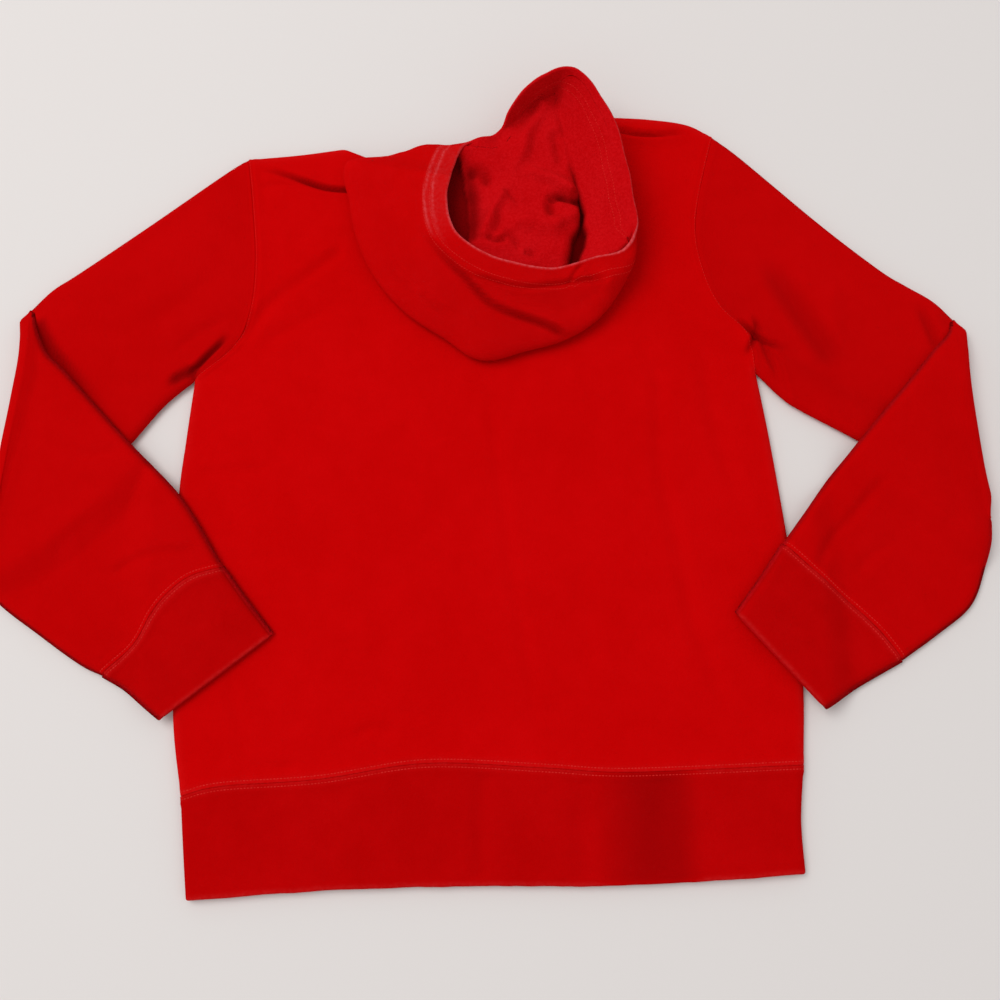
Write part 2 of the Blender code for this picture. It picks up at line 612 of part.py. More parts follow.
class Hood:
    """The hood as an open bag: sections around its centre, each from its floor up to its rim."""

    def __init__(self, ground):
        self.ground = ground
        self.angles = self.column_angles()
        table = np.array(HOOD_SECTIONS, dtype=float)
        before, after = table[-2:].copy(), table[:3].copy()
        before[:, 0] -= 360
        after[:, 0] += 360
        self.table = np.concatenate([before, table, after])

    @staticmethod
    def column_angles():
        """Directions of the columns, with one on each end of the seams."""
        runs = (
            (SEAM_THROAT, HOOD_FINE_END, HOOD_FINE_STEP),
            (HOOD_FINE_END, SEAM_CROWN, HOOD_COLUMN_STEP),
            (SEAM_CROWN, SEAM_FOREHEAD, HOOD_COLUMN_STEP),
            (SEAM_FOREHEAD, SEAM_THROAT + 360, HOOD_COLUMN_STEP),
        )
        turns = []
        for start, end, step in runs:
            turns.append(np.linspace(start, end, round((end - start) / step), endpoint=False))
        return np.concatenate(turns)

    def station(self, column, angle):
        """One column of the section table at any direction."""
        angle = angle % 360
        angles = self.table[:, 0]
        index = int(np.searchsorted(angles, angle, side="right")) - 1
        index = min(max(index, 1), len(angles) - 3)
        share = (angle - angles[index]) / (angles[index + 1] - angles[index])
        return float(catmull_rom(*self.table[index - 1 : index + 3, column], share))

    def section(self, angle):
        """Radii of the floor points of one section, then radius and height up to its rim."""
        foot_r, out_r, out_z, mid_r, mid_z, rim_r, rim_z = (
            self.station(column, angle) for column in range(1, 8)
        )
        inner = FLOOR_RADII[-1]
        floor = list(FLOOR_RADII) + [inner + (foot_r - inner) * share for share in FLOOR_SHARES]
        foot = np.array([foot_r, self.rest(angle, foot_r)])
        out, mid, rim = np.array([out_r, out_z]), np.array([mid_r, mid_z]), np.array([rim_r, rim_z])
        foot_chord, side_chord = np.linalg.norm(out - foot), np.linalg.norm(mid - out)
        rising = np.maximum((out - foot) / foot_chord + (mid - out) / side_chord, 0.0)
        rising /= np.linalg.norm(rising)
        foot_pull = QUARTER_TURN_PULL * foot_chord
        mid_pull = (rim - out) / 2
        runs = (
            (FOOT_SHARES, foot, foot_pull * np.array([1.0, 0.0]), out, foot_pull * rising),
            (SIDE_SHARES, out, SIDE_PULL * side_chord * rising, mid, mid_pull),
            (RIM_SHARES, mid, mid_pull, rim, rim - mid),
        )
        side = []
        for shares, start, pull_start, end, pull_end in runs:
            side += [hermite(start, pull_start, end, pull_end, share) for share in shares]
        return floor, side

    def rest(self, angle, radius):
        """Height of the cloth or floor below one point of the hood."""
        return float(self.ground.rest_height(self.plan(angle, radius)))

    @staticmethod
    def plan(angle, radius):
        """Plan point at a direction and radius from the centre."""
        turn = math.radians(angle)
        x = HOOD_CENTRE[0] + radius * math.cos(turn)
        y = HOOD_CENTRE[1] + radius * math.sin(turn)
        return np.array([x, y])

    def outer_sheet(self):
        """Rows of points from the centre of the floor out to the rim."""
        columns = []
        for angle in self.angles:
            floor, side = self.section(angle)
            points = []
            for radius in floor:
                points.append((*self.plan(angle, radius), self.rest(angle, radius)))
            for radius, height in side:
                points.append((*self.plan(angle, radius), height))
            columns.append(points)
        sheet = np.array(columns).transpose(1, 0, 2)
        bumps = np.zeros(sheet.shape[:2])
        for start, end, height, width in HOOD_FOLDS:
            bumps = np.maximum(bumps, height * trough(sheet[..., :2], start, end, width))
        for angle in (SEAM_CROWN, SEAM_THROAT):
            seam_end = self.plan(angle, SEAM_REACH)
            bumps *= 1 - trough(sheet[..., :2], HOOD_CENTRE, seam_end, SEAM_FLAT_WIDTH)
        floor_rows = np.arange(len(sheet)) < FLOOR_ROWS
        return lift(sheet, bumps * floor_rows[:, None])

    def lapped(self, sheet, normals):
        """The sheet with the trough where its upper layer laps over the lower one."""
        depth = np.zeros(sheet.shape[:2])
        for start, end in zip(HOOD_LAP, HOOD_LAP[1:]):
            depth = np.maximum(depth, trough(sheet[..., :2], start, end, HOOD_LAP_WIDTH))
        upper_rows = np.arange(len(sheet)) > FLOOR_ROWS + len(FOOT_SHARES) + 1
        return sheet + normals * (HOOD_LAP_DEPTH * depth * upper_rows[:, None])[..., None]

    @staticmethod
    def inward_normals(sheet):
        """Unit directions from the outside of the hood into it."""
        around = np.roll(sheet, -1, axis=1) - np.roll(sheet, 1, axis=1)
        up = np.gradient(sheet, axis=0)
        normals = np.cross(around, up)
        normals[0] = (0.0, 0.0, -1.0)
        normals /= np.linalg.norm(normals, axis=-1)[..., None]
        return -normals

    def walls(self):
        """Outer and inner sheets, thicker where the face edge is turned in as a hem."""
        outer = self.outer_sheet()
        outer = self.lapped(outer, self.inward_normals(outer))
        normals = self.inward_normals(outer)
        steps = np.linalg.norm(np.diff(outer, axis=0), axis=-1)
        to_rim = np.concatenate([np.cumsum(steps[::-1], axis=0)[::-1], np.zeros((1, steps.shape[1]))])
        hemmed = smooth_step((HOOD_HEM_WIDTH - to_rim) / HOOD_HEM_STEP + 0.5)
        wall = CLOTH_WALL + (HOOD_HEM_WALL - CLOTH_WALL) * hemmed
        return outer, outer + normals * wall[..., None]

    def left_cells(self, rows):
        """Cells of the left panel: its own side, and the top of the crown up to the seam."""
        mids = self.angles + np.append(np.diff(self.angles), 360 - np.ptp(self.angles)) / 2
        side = (mids > SEAM_THROAT) & (mids < SEAM_CROWN)
        crown = (mids > SEAM_CROWN) & (mids < SEAM_FOREHEAD)
        seam_row = FLOOR_ROWS + len(FOOT_SHARES) - 1
        above = np.arange(rows - 1) >= seam_row
        return side[None, :] | (crown[None, :] & above[:, None])

    def build(self):
        """Two panels that meet at the centre seam."""
        outer, inner = self.walls()
        left = self.left_cells(len(outer))
        for name, cells in (("hood_left", left), ("hood_right", ~left)):
            panel = [draw_in(sheet, cells) for sheet in (outer, inner)]
            wall_solid(name, *panel, RED_WORN, ring=True, keep=cells)


def draw_in(sheet, cells):
    """Move the seam points of a panel half a seam gap into it."""
    rows, columns = cells.shape
    pulled = sheet.copy()
    for row in range(1, rows + 1):
        for column in range(columns):
            around = owned(cells, row, column)
            if True not in around.values() or False not in around.values():
                continue
            inward = [side for side in NEIGHBOURS if edge_is(around, side, (True,))]
            if not inward:
                inward = [side for side in NEIGHBOURS if edge_is(around, side, (True, False))]
            for down, across in inward:
                beside = sheet[row + down, (column + across) % columns]
                pulled[row, column] += seam_step(sheet[row, column], beside)
    first_row = sheet[1, :][np.flatnonzero(cells[0])]
    pulled[0] = sheet[0] + seam_step(sheet[0, 0], first_row.mean(axis=0))
    return pulled


def owned(cells, row, column):
    """Whether each of the cells round a point belongs to the panel; those off the sheet are None."""
    around = {}
    for down in (-1, 1):
        for across in (-1, 1):
            cell_row = row + (down - 1) // 2
            cell_column = (column + (across - 1) // 2) % cells.shape[1]
            on_sheet = 0 <= cell_row < cells.shape[0]
            around[down, across] = bool(cells[cell_row, cell_column]) if on_sheet else None
    return around


def edge_is(around, side, wanted):
    """Whether the cells beside the edge that leaves a point on this side are just those wanted."""
    down, across = side
    pairs = [(down or step, across or step) for step in (-1, 1)]
    found = {around[pair] for pair in pairs} - {None}
    return found == set(wanted)


def seam_step(point, beside):
    """Half a seam gap, and a little over, from a point towards the one beside it."""
    away = beside - point
    return away / np.linalg.norm(away) * SEAM_GAP * SEAM_DRAW


def main():
    """Clear the scene and build every piece."""
    for old in list(bpy.data.objects):
        bpy.data.objects.remove(old)
    ground = GroundPlan((LEFT_SLEEVE, RIGHT_SLEEVE))
    build_body(ground)
    build_sleeve(ground, "left", LEFT_SLEEVE, LEFT_ARMHOLE)
    build_sleeve(ground, "right", RIGHT_SLEEVE, RIGHT_ARMHOLE)
    Hood(ground).build()


main()
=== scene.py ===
"""Looks of a child's pullover hoodie in red sweatshirt fleece, laid on its front.

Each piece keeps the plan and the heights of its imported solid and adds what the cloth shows:
creases, seams, turned hems, cover stitching, knit and nap. Sizes are millimetres in the
garment's own frame: x runs across the body from its centre line, y up from the hem to the
neck, z up from the surface that the garment lies on.
"""

import logging
import math
from dataclasses import astuple, dataclass, field
from enum import Enum
from typing import Optional, Sequence, Union

import bmesh
import bpy
import numpy as np
from mathutils import Matrix, Vector, noise


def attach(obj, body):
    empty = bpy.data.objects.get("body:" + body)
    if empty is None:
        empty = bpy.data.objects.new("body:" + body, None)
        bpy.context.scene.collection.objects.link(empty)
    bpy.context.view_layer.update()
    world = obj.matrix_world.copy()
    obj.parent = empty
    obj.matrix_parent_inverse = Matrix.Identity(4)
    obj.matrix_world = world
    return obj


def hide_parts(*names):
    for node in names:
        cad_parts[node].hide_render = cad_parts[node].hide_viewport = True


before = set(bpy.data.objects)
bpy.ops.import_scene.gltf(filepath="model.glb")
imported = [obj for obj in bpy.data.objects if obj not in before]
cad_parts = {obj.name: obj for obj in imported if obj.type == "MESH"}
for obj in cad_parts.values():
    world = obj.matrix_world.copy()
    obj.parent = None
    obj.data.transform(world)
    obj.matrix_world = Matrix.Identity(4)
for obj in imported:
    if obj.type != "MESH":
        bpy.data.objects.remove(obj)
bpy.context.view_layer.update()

LOG = logging.getLogger("hoodie")
MM = 0.001
Points = np.ndarray
Material, Socket, Piece = bpy.types.Material, bpy.types.NodeSocket, bpy.types.Object
Pair = tuple[float, float]
Triple = tuple[float, float, float]
Colour = tuple[float, float, float, float]
Shares = Union[float, Points]
Value = Union[Socket, float]
Tint = Union[Socket, Colour]
PlanLine = tuple[Pair, ...]
# Height, size and seed of each layer of noise.
Waves = tuple[Triple, ...]
# How much an edge is rubbed, and how far from it that reaches.
Rub = Pair

# The box of the whole garment is centred over the part's origin.
GARMENT_CENTRE = (-5.525, 302.647)

# Cloth and the way it stacks.
CLOTH_WALL = 2.0
BAND_WALL = 3.0
HOOD_HEM_WALL = 3.0
SEAM_GAP = 0.06
LOFT = 7.5
FOLD_REACH = 6.0
LAYER_CLEARANCE = 0.5
DRAPE_REACH = 26.0
DRAPE_MARGIN = 14.0
TANGENT_STEP = 0.004
ON_FOLD = 0.05
# Distances from a seam, a fold or a cloth edge at which rows of points stand.
EDGE_LADDER = (0.0, 0.12, 0.4, 0.85, 1.5, 2.2, 3.0, 3.9, 5.0, 6.4, 8.2, 10.6, 13.6)

# Edges of the body, from the hem up.
HEM_EDGE = ((-219, -9), (-139, -3), (-68, 0), (-16, 1), (30, 1), (73, 1), (143, 4), (218, 9))
HEM_SEAM = ((-227, 62), (-198, 69), (-127, 74), (-52, 85), (31, 82), (80, 79), (131, 80), (221, 84))
LEFT_HEM_SIDE = ((-219, -9), (-223, 25), (-227, 62))
RIGHT_HEM_SIDE = ((218, 9), (217, 45), (221, 84))
LEFT_SIDE = ((-227, 62), (-236, 118), (-240, 203), (-242, 279), (-239, 326), (-235, 374))
RIGHT_SIDE = ((221, 84), (224, 137), (223, 196), (218, 252), (209, 326), (201, 380))
LEFT_ARMHOLE = ((-235, 374), (-205, 402), (-194, 431), (-192, 473), (-197, 525), (-202, 562))
RIGHT_ARMHOLE = (
    (201, 380), (195, 412), (175, 435), (163, 465), (158, 499), (163, 534), (175, 582)
)
LEFT_SHOULDER = ((-202, 562), (-161, 566), (-127, 571))
RIGHT_SHOULDER = ((93, 600), (125, 598), (155, 593), (175, 582))
BACK_NECK = ((-127, 571), (-85, 556), (-20, 546), (45, 561), (93, 600))
FRONT_NECK = ((-127, 571), (-95, 528), (-20, 500), (55, 535), (93, 600))
BACK_LENGTH = 463.0
SHOULDER_SHARES = (0.2, 0.78)
ARMHOLE_SHARE = 0.62


def smooth_step(value: Points) -> Points:
    """Ease from 0 to 1 as value goes from 0 to 1."""
    clamped = np.clip(value, 0.0, 1.0)
    return clamped * clamped * (3.0 - 2.0 * clamped)


def fading(distance: Points, reach: float) -> Points:
    """Ease from 1 at no distance to 0 at the reach and beyond it."""
    return smooth_step(1 - distance / reach)


def rubbed(distance: Points, rub: Rub) -> Points:
    """Wear beside an edge."""
    most, reach = rub
    return most * fading(distance, reach)


@dataclass(frozen=True)
class Span:
    """A stretch of places or directions that is eased into and out of."""

    start: float
    end: float
    ease_in: float
    ease_out: float

    def share(self, value: Points) -> Points:
        """1 well within it and 0 outside."""
        entered = smooth_step((value - self.start) / self.ease_in)
        return entered * smooth_step((self.end - value) / self.ease_out)


def hermite(
    start: Points, pull_start: Points, end: Points, pull_end: Points, step: Shares
) -> Points:
    """Point of the cubic from start to end that leaves and arrives along the two pulls.

    Args:
        start: First point.
        pull_start: Direction and strength with which the curve leaves it.
        end: Last point.
        pull_end: Direction and strength with which the curve arrives.
        step: Share of the way, or several.

    Returns:
        The point or points.
    """
    square = step * step
    cube = square * step
    return (
        (2 * cube - 3 * square + 1) * start
        + (cube - 2 * square + step) * pull_start
        + (3 * square - 2 * cube) * end
        + (cube - square) * pull_end
    )


def catmull_rom(
    before: Points, start: Points, end: Points, after: Points, step: Shares
) -> Points:
    """Point of the curve from start to end that also heeds its two neighbours."""
    return hermite(start, (end - before) / 2, end, (after - start) / 2, step)


class Curve:
    """A smooth line through a few points, read by its share of length."""

    SAMPLES = 12

    def __init__(self, points: Sequence[Sequence[float]]) -> None:
        """Sample the line.

        Args:
            points: The points that it passes.
        """
        knots = np.array(points, dtype=float)
        ends = (2 * knots[:1] - knots[1:2], knots, 2 * knots[-1:] - knots[-2:-1])
        padded = np.concatenate(ends)
        steps = np.linspace(0.0, 1.0, self.SAMPLES, endpoint=False)[:, None]
        spans = []
        for before, start, end, after in zip(padded, padded[1:], padded[2:], padded[3:]):
            spans.append(catmull_rom(before, start, end, after, steps))
        self.line = np.concatenate(spans + [knots[-1:]])
        lengths = np.linalg.norm(np.diff(self.line, axis=0), axis=1)
        self.length = float(lengths.sum())
        self.shares = np.concatenate(([0.0], np.cumsum(lengths))) / self.length

    def at(self, shares: Points) -> Points:
        """Points of the line."""
        return np.stack([np.interp(shares, self.shares, axis) for axis in self.line.T], axis=-1)


def chain(*parts: PlanLine) -> Points:
    """One line through several curves that meet end to end."""
    lines = [Curve(part).line for part in parts]
    return np.concatenate([line[:-1] for line in lines[:-1]] + [lines[-1]])


def ladder(
    length: float, step: float, start: bool = True, end: bool = True,
    fine: Triple = (0.0, 0.0, 1.0),
) -> Points:
    """Shares of a length, closer together at the ends that are an edge.

    Args:
        length: The whole length.
        step: Distance between points away from the ends.
        start: Whether the start is an edge.
        end: Whether the end is an edge.
        fine: Where a stretch with closer points starts and ends, and their distance.

    Returns:
        Rising shares from 0 to 1.
    """
    low = np.array(EDGE_LADDER if start else (0.0,))
    high = np.array(EDGE_LADDER if end else (0.0,))
    stops = [low[-1], *np.clip(fine[:2], low[-1], length - high[-1]), length - high[-1]]
    middle = [low[:-1]]
    for first, last, gap in zip(stops, stops[1:], (step, fine[2], step)):
        count = round((last - first) / gap)
        middle.append(np.linspace(first, last, count, endpoint=False))
    return np.concatenate([*middle, length - high[::-1]]) / length


def stretch(
    bottom: Points, top: Points, left: Points, right: Points, across: Points, along: Points
) -> Points:
    """Plan of a sheet stretched between four rows of edge points.

    Args:
        bottom: First row, one point for each column.
        top: Last row.
        left: First column, one point for each row.
        right: Last column.
        across: Share of the width at each column.
        along: Share of the length at each row.

    Returns:
        Plan points in rows and columns.
    """
    u = across[None, :, None]
    v = along[:, None, None]
    low = (1 - u) * bottom[0] + u * bottom[-1]
    high = (1 - u) * top[0] + u * top[-1]
    ruled = (1 - v) * bottom[None] + v * top[None] + (1 - u) * left[:, None] + u * right[:, None]
    return ruled - (1 - v) * low - v * high


def parted(line: PlanLine, shares: Points, side: float, fixed: tuple[float, ...]) -> Points:
    """Points of a seam line, moved half a seam gap off it.

    Args:
        line: The seam's points.
        shares: Shares of its length that are wanted.
        side: 1 to move to its left, -1 to its right.
        fixed: The shares that stay on the line.

    Returns:
        The moved points.
    """
    curve = Curve(line)
    tangents = curve.at(shares + TANGENT_STEP) - curve.at(shares - TANGENT_STEP)
    tangents /= np.linalg.norm(tangents, axis=1)[:, None]
    normals = np.stack([-tangents[:, 1], tangents[:, 0]], axis=-1)
    moved = ~np.isin(shares, fixed)
    return curve.at(shares) + normals * (side * SEAM_GAP / 2 * moved)[:, None]


class Folds:
    """The folded edges of a flattened layer, walked with the cloth on their left."""

    def __init__(self, *lines: Points) -> None:
        """Keep the edges as short runs with their inward directions.

        Args:
            lines: The edges as lines of plan points.
        """
        starts, ends, start_normals, end_normals = [], [], [], []
        for line in lines:
            tangents = np.diff(line, axis=0)
            tangents /= np.linalg.norm(tangents, axis=1)[:, None]
            inward = np.stack([-tangents[:, 1], tangents[:, 0]], axis=-1)
            corner = np.concatenate([inward[:1], inward[:-1] + inward[1:], inward[-1:]])
            corner /= np.linalg.norm(corner, axis=1)[:, None]
            starts.append(line[:-1])
            ends.append(line[1:])
            start_normals.append(corner[:-1])
            end_normals.append(corner[1:])
        self.starts = np.concatenate(starts)
        self.runs = np.concatenate(ends) - self.starts
        self.start_normals = np.concatenate(start_normals)
        self.end_normals = np.concatenate(end_normals)

    def nearest(self, plan: Points) -> tuple[Points, Points]:
        """How far each plan point is from the folds.

        Args:
            plan: Plan points.

        Returns:
            The distance from the nearest fold, and the direction away from it.
        """
        points = plan.reshape(-1, 1, 2)
        along = ((points - self.starts) * self.runs).sum(-1) / (self.runs**2).sum(-1)
        along = np.clip(along, 0.0, 1.0)[..., None]
        away = points - (self.starts + along * self.runs)
        distance = np.linalg.norm(away, axis=-1)
        best = distance.argmin(axis=1)
        row = np.arange(len(best))
        share = along[row, best]
        normal = (1 - share) * self.start_normals[best] + share * self.end_normals[best]
        reach = distance[row, best][:, None]
        direction = np.where(reach < ON_FOLD, normal, away[row, best] / np.maximum(reach, ON_FOLD))
        return reach.reshape(plan.shape[:-1]), direction.reshape(plan.shape)


def smooth_edge(share: Points) -> Points:
    """Rising shares that stand closer together towards 1."""
    return 1 - (1 - share) ** 1.6


def depth_inside(border: Points, plan: Points) -> Points:
    """How far each point lies inside a closed border.

    Args:
        border: The border's points in order.
        plan: Plan points.

    Returns:
        Distance from the border, negative outside it.
    """
    points = plan.reshape(-1, 2)
    starts, ends = border, np.roll(border, -1, axis=0)
    x, y = points[:, :1], points[:, 1:]
    straddles = (starts[:, 1] > y) != (ends[:, 1] > y)
    rise = np.where(ends[:, 1] == starts[:, 1], 1.0, ends[:, 1] - starts[:, 1])
    crossing = starts[:, 0] + (y - starts[:, 1]) * (ends[:, 0] - starts[:, 0]) / rise
    inside = (straddles & (crossing > x)).sum(axis=1) % 2 == 1
    runs = ends - starts
    along = ((points[:, None] - starts) * runs).sum(-1) / np.maximum((runs**2).sum(-1), 1e-9)
    nearest = starts + np.clip(along, 0, 1)[..., None] * runs
    reach = np.linalg.norm(points[:, None] - nearest, axis=-1).min(axis=1)
    return np.where(inside, reach, -reach).reshape(plan.shape[:-1])


def wander(points: Points, size: float, seed: float) -> Points:
    """Smooth noise between about -1 and 1 at each point.

    Args:
        points: Points of two or three coordinates.
        size: Distance over which the noise changes.
        seed: Moves the noise to another place.

    Returns:
        One number for each point.
    """
    flat = points.reshape(-1, points.shape[-1]) / size
    values = [noise.noise((*(p if len(p) == 3 else (*p, 0.0)),)) for p in flat + seed]
    return np.array(values).reshape(points.shape[:-1])


def waver(points: Points, waves: Waves) -> Points:
    """Layers of noise on each other."""
    return sum(height * wander(points, size, seed) for height, size, seed in waves)


# Shortest taper, as a share of a crease.
LEAST_TAPER = 1e-3


@dataclass(frozen=True)
class Crease:
    """A soft trough, or with a negative depth a ridge, along a curved line.

    The two banks are the heights of the cloth that it pushes up on its left and on its right,
    and shade is how much painted shade darkens its bottom.
    """

    line: PlanLine
    depth: float
    width: float
    left_bank: float = 0.0
    right_bank: float = 0.0
    tapers: Pair = (0.25, 0.25)
    shade: float = 0.0

    def trace(self, plan: Points) -> tuple[Points, Points, Points, Points]:
        """Where each point stands beside the crease.

        Args:
            plan: Plan points.

        Returns:
            Distance in widths, whether it is on the left, place along the crease, and strength.
        """
        line = Curve(self.line).line[::3]
        starts, runs = line[:-1], np.diff(line, axis=0)
        points = plan.reshape(-1, 1, 2)
        along = np.clip(((points - starts) * runs).sum(-1) / (runs**2).sum(-1), 0.0, 1.0)
        away = points - (starts + along[..., None] * runs)
        reach = np.linalg.norm(away, axis=-1)
        best = reach.argmin(axis=1)
        row = np.arange(len(best))
        run, off = runs[best], away[row, best]
        on_left = run[:, 0] * off[:, 1] - run[:, 1] * off[:, 0] > 0
        place = (best + along[row, best]) / len(starts)
        distance = reach[row, best] / self.width
        first, last = (max(taper, LEAST_TAPER) for taper in self.tapers)
        strength = smooth_step(place / first) * smooth_step((1 - place) / last)
        return distance, on_left, place, strength

    def rise(self, plan: Points) -> Points:
        """Height that the crease adds.

        Args:
            plan: Plan points.

        Returns:
            Height at each point, negative in a trough.
        """
        distance, on_left, place, strength = self.trace(plan)
        bank = np.where(on_left, self.left_bank, self.right_bank)
        shape = bank * distance**2 * np.exp(2 - 2 * distance)
        shape = shape - self.depth * smooth_step(1 - distance) ** 1.3
        along = np.stack([place * 4, place * 0 + self.depth], -1)
        uneven = 1 + 0.3 * wander(along, 1.0, 7.3)
        return (shape * strength * uneven).reshape(plan.shape[:-1])

    def painted_shade(self, plan: Points) -> Points:
        """How much painted shade the crease puts at each point.

        Args:
            plan: Plan points.

        Returns:
            The painted shade at each point.
        """
        if not self.shade:
            return np.zeros(plan.shape[:-1])
        distance, _, _, strength = self.trace(plan)
        return (self.shade * strength * smooth_step(1.1 - distance)).reshape(plan.shape[:-1])


@dataclass(frozen=True)
class Relief:
    """Creases of one piece, and the slight unevenness between them."""

    creases: tuple[Crease, ...] = ()
    ripple: float = 0.35
    ripple_size: float = 42.0
    seed: float = 0.0

    def rise(self, plan: Points) -> Points:
        """Height that all of it adds.

        Args:
            plan: Plan points.

        Returns:
            Height at each point.
        """
        height = self.ripple * wander(plan, self.ripple_size, self.seed + 0.37)
        height += 0.4 * self.ripple * wander(plan, self.ripple_size / 2.7, self.seed + 11.1)
        for crease in self.creases:
            height += crease.rise(plan)
        return height

    def painted_shade(self, plan: Points) -> Points:
        """How much painted shade all of it puts at each point."""
        return sum((crease.painted_shade(plan) for crease in self.creases), np.zeros(plan.shape[:-1]))


# Creases that run across an armhole's seam from the body into the sleeve; their last number is
# painted shade.
LEFT_ARMPIT = (
    Crease(((-209, 411), (-217, 402), (-225, 393.5), (-232, 385.5), (-241, 377)),
           3.6, 3.9, 1.0, 1.6, (0.3, 0.1), 0.95),
    Crease(((-256, 369), (-247, 376), (-239, 379), (-231, 378)),
           2.6, 6.0, 0.6, 0.3, (0.25, 0.2), 0.95),
)
RIGHT_ARMPIT = (
    Crease(((187, 423), (194, 418), (200, 411), (208, 405), (218, 402), (238, 399)),
           3.4, 3.8, 1.6, 1.0, (0.3, 0.5), 0.6),
    Crease(((202, 429), (203, 418), (201, 409), (197, 401), (192, 393)),
           3.0, 4.0, 0.9, 0.9, (0.3, 0.2), 0.5),
    Crease(((206, 405), (211, 392), (219, 374)), 1.6, 4.5, 0.6, 0.6, (0.1, 0.4), 0.2),
)
# A crease goes no deeper than the room between the layers.
DEEPEST = 3.4


@dataclass
class Wall:
    """A wall of cloth between two sheets of points that share rows and columns.

    ring says that the last column joins the first, and straight_grain that the cloth's grain
    follows the plan instead of the columns.
    """

    outer: Points
    inner: Points
    ring: bool = False
    straight_grain: bool = False
    wear: Points = field(default=None)

    def __post_init__(self) -> None:
        """Start without wear or painted light."""
        if self.wear is None:
            self.wear = np.zeros(self.outer.shape[:2])

    def directions(self) -> Points:
        """Unit directions from the inner sheet to the outer one."""
        across = self.outer - self.inner
        return across / np.linalg.norm(across, axis=-1)[..., None]

    def lift(self, height: Points) -> None:
        """Raise both sheets."""
        self.outer[..., 2] += height
        self.inner[..., 2] += height

    def swell(self, height: Points) -> None:
        """Move the outer sheet alone away from the inner one."""
        self.outer = self.outer + self.directions() * height[..., None]

    def run(self, axis: int, from_end: bool) -> Points:
        """Length of cloth between an edge and each point.

        Args:
            axis: 0 for the first or last row, 1 for the first or last column.
            from_end: Whether it is the last one.

        Returns:
            Distance at each point.
        """
        sheet = np.flip(self.outer, axis) if from_end else self.outer
        steps = np.linalg.norm(np.diff(sheet, axis=axis), axis=-1)
        total = np.cumsum(steps, axis=axis)
        total = np.concatenate([np.zeros_like(total.take([0], axis)), total], axis=axis)
        return np.flip(total, axis) if from_end else total

    def round_edge(self, axis: int, from_end: bool, radius: float, depth: float = 0.5) -> None:
        """Round off the corners of the wall at an edge.

        Args:
            axis: 0 for the first or last row, 1 for the first or last column.
            from_end: Whether it is the last one.
            radius: Distance from the edge at which the rounding starts.
            depth: Share of the wall's thickness by which each sheet draws in.
        """
        share = np.clip(1 - self.run(axis, from_end) / radius, 0.0, 1.0)
        drawn = (depth * (1 - np.sqrt(1 - share**2)))[..., None]
        across = self.inner - self.outer
        self.outer, self.inner = self.outer + across * drawn, self.inner - across * drawn

    def beside(self, axis: int, from_end: bool, distance: float) -> tuple[Points, Points]:
        """A line on the outer sheet at a distance from an edge.

        Args:
            axis: 0 for the first or last row, 1 for the first or last column.
            from_end: Whether it is the last one.
            distance: Length of cloth between the edge and the line.

        Returns:
            Its points, and the directions out of the cloth there.
        """
        runs = self.run(axis, from_end)
        out = self.directions()
        sheet = self.outer
        if axis == 1:
            runs, sheet, out = runs.T, sheet.transpose(1, 0, 2), out.transpose(1, 0, 2)
        if from_end:
            runs, sheet, out = runs[::-1], sheet[::-1], out[::-1]
        points, normals = [], []
        for column in range(runs.shape[1]):
            for kept, values in ((points, sheet), (normals, out)):
                axes = values[:, column].T
                kept.append([np.interp(distance, runs[:, column], numbers) for numbers in axes])
        return np.array(points), np.array(normals)

    def flat(self) -> Points:
        """Lengths of cloth across and along the sheet, with the closing column of a ring.

        Returns:
            The two lengths at each point.
        """
        sheet = self.outer
        if self.straight_grain:
            return sheet[..., :2]
        if self.ring:
            sheet = np.concatenate([sheet, sheet[:, :1]], axis=1)
        across = np.cumsum(np.linalg.norm(np.diff(sheet, axis=1), axis=-1), axis=1)
        across = np.concatenate([np.zeros((len(sheet), 1)), across], axis=1)
        along = np.cumsum(np.linalg.norm(np.diff(sheet, axis=0), axis=-1), axis=0)
        along = np.concatenate([np.zeros((1, sheet.shape[1])), along], axis=0)
        return np.stack([across, along], axis=-1)


# A sewn seam: its rows' distance from it, and the dents along them and along itself.
STITCH_OFFSET = 2.7
ARMHOLE_OFFSET = 0.9
DENT_DEPTH, GROOVE_DEPTH, DENT_WIDTH = 0.28, 0.15, 0.8
# The allowance below it, its pucker, and the cloth that it draws up.
ALLOWANCE_RISE, ALLOWANCE_WIDTH, ALLOWANCE_EASE = 0.5, 8.5, 3.5
PUCKER, PUCKER_SIZE = 0.45, 7.0
DRAWN_RISE, DRAWN_SIZE, DRAWN_SEED, DRAWN_REACH = 0.35, 15.0, 3.1, 26.0
# Added to the distance where there is no seam.
OUT_OF_REACH = 60
# Where the noise of each seam starts, so that the cloth on both sides puckers alike.
HEM_SEED, ARMHOLE_SEED, CUFF_SEED = 5.0, 9.0, 12.0
# Radius and depth to which edges are rounded: sewn ones, and folded ones at full depth.
PANEL_ROUND, BAND_ROUND, SLEEVE_ROUND = (0.8, 0.22), (0.8, 0.16), (0.7, 0.25)
NECK_RADIUS, BAND_FOLD_RADIUS, RIM_RADIUS = 1.2, 1.7, 1.6


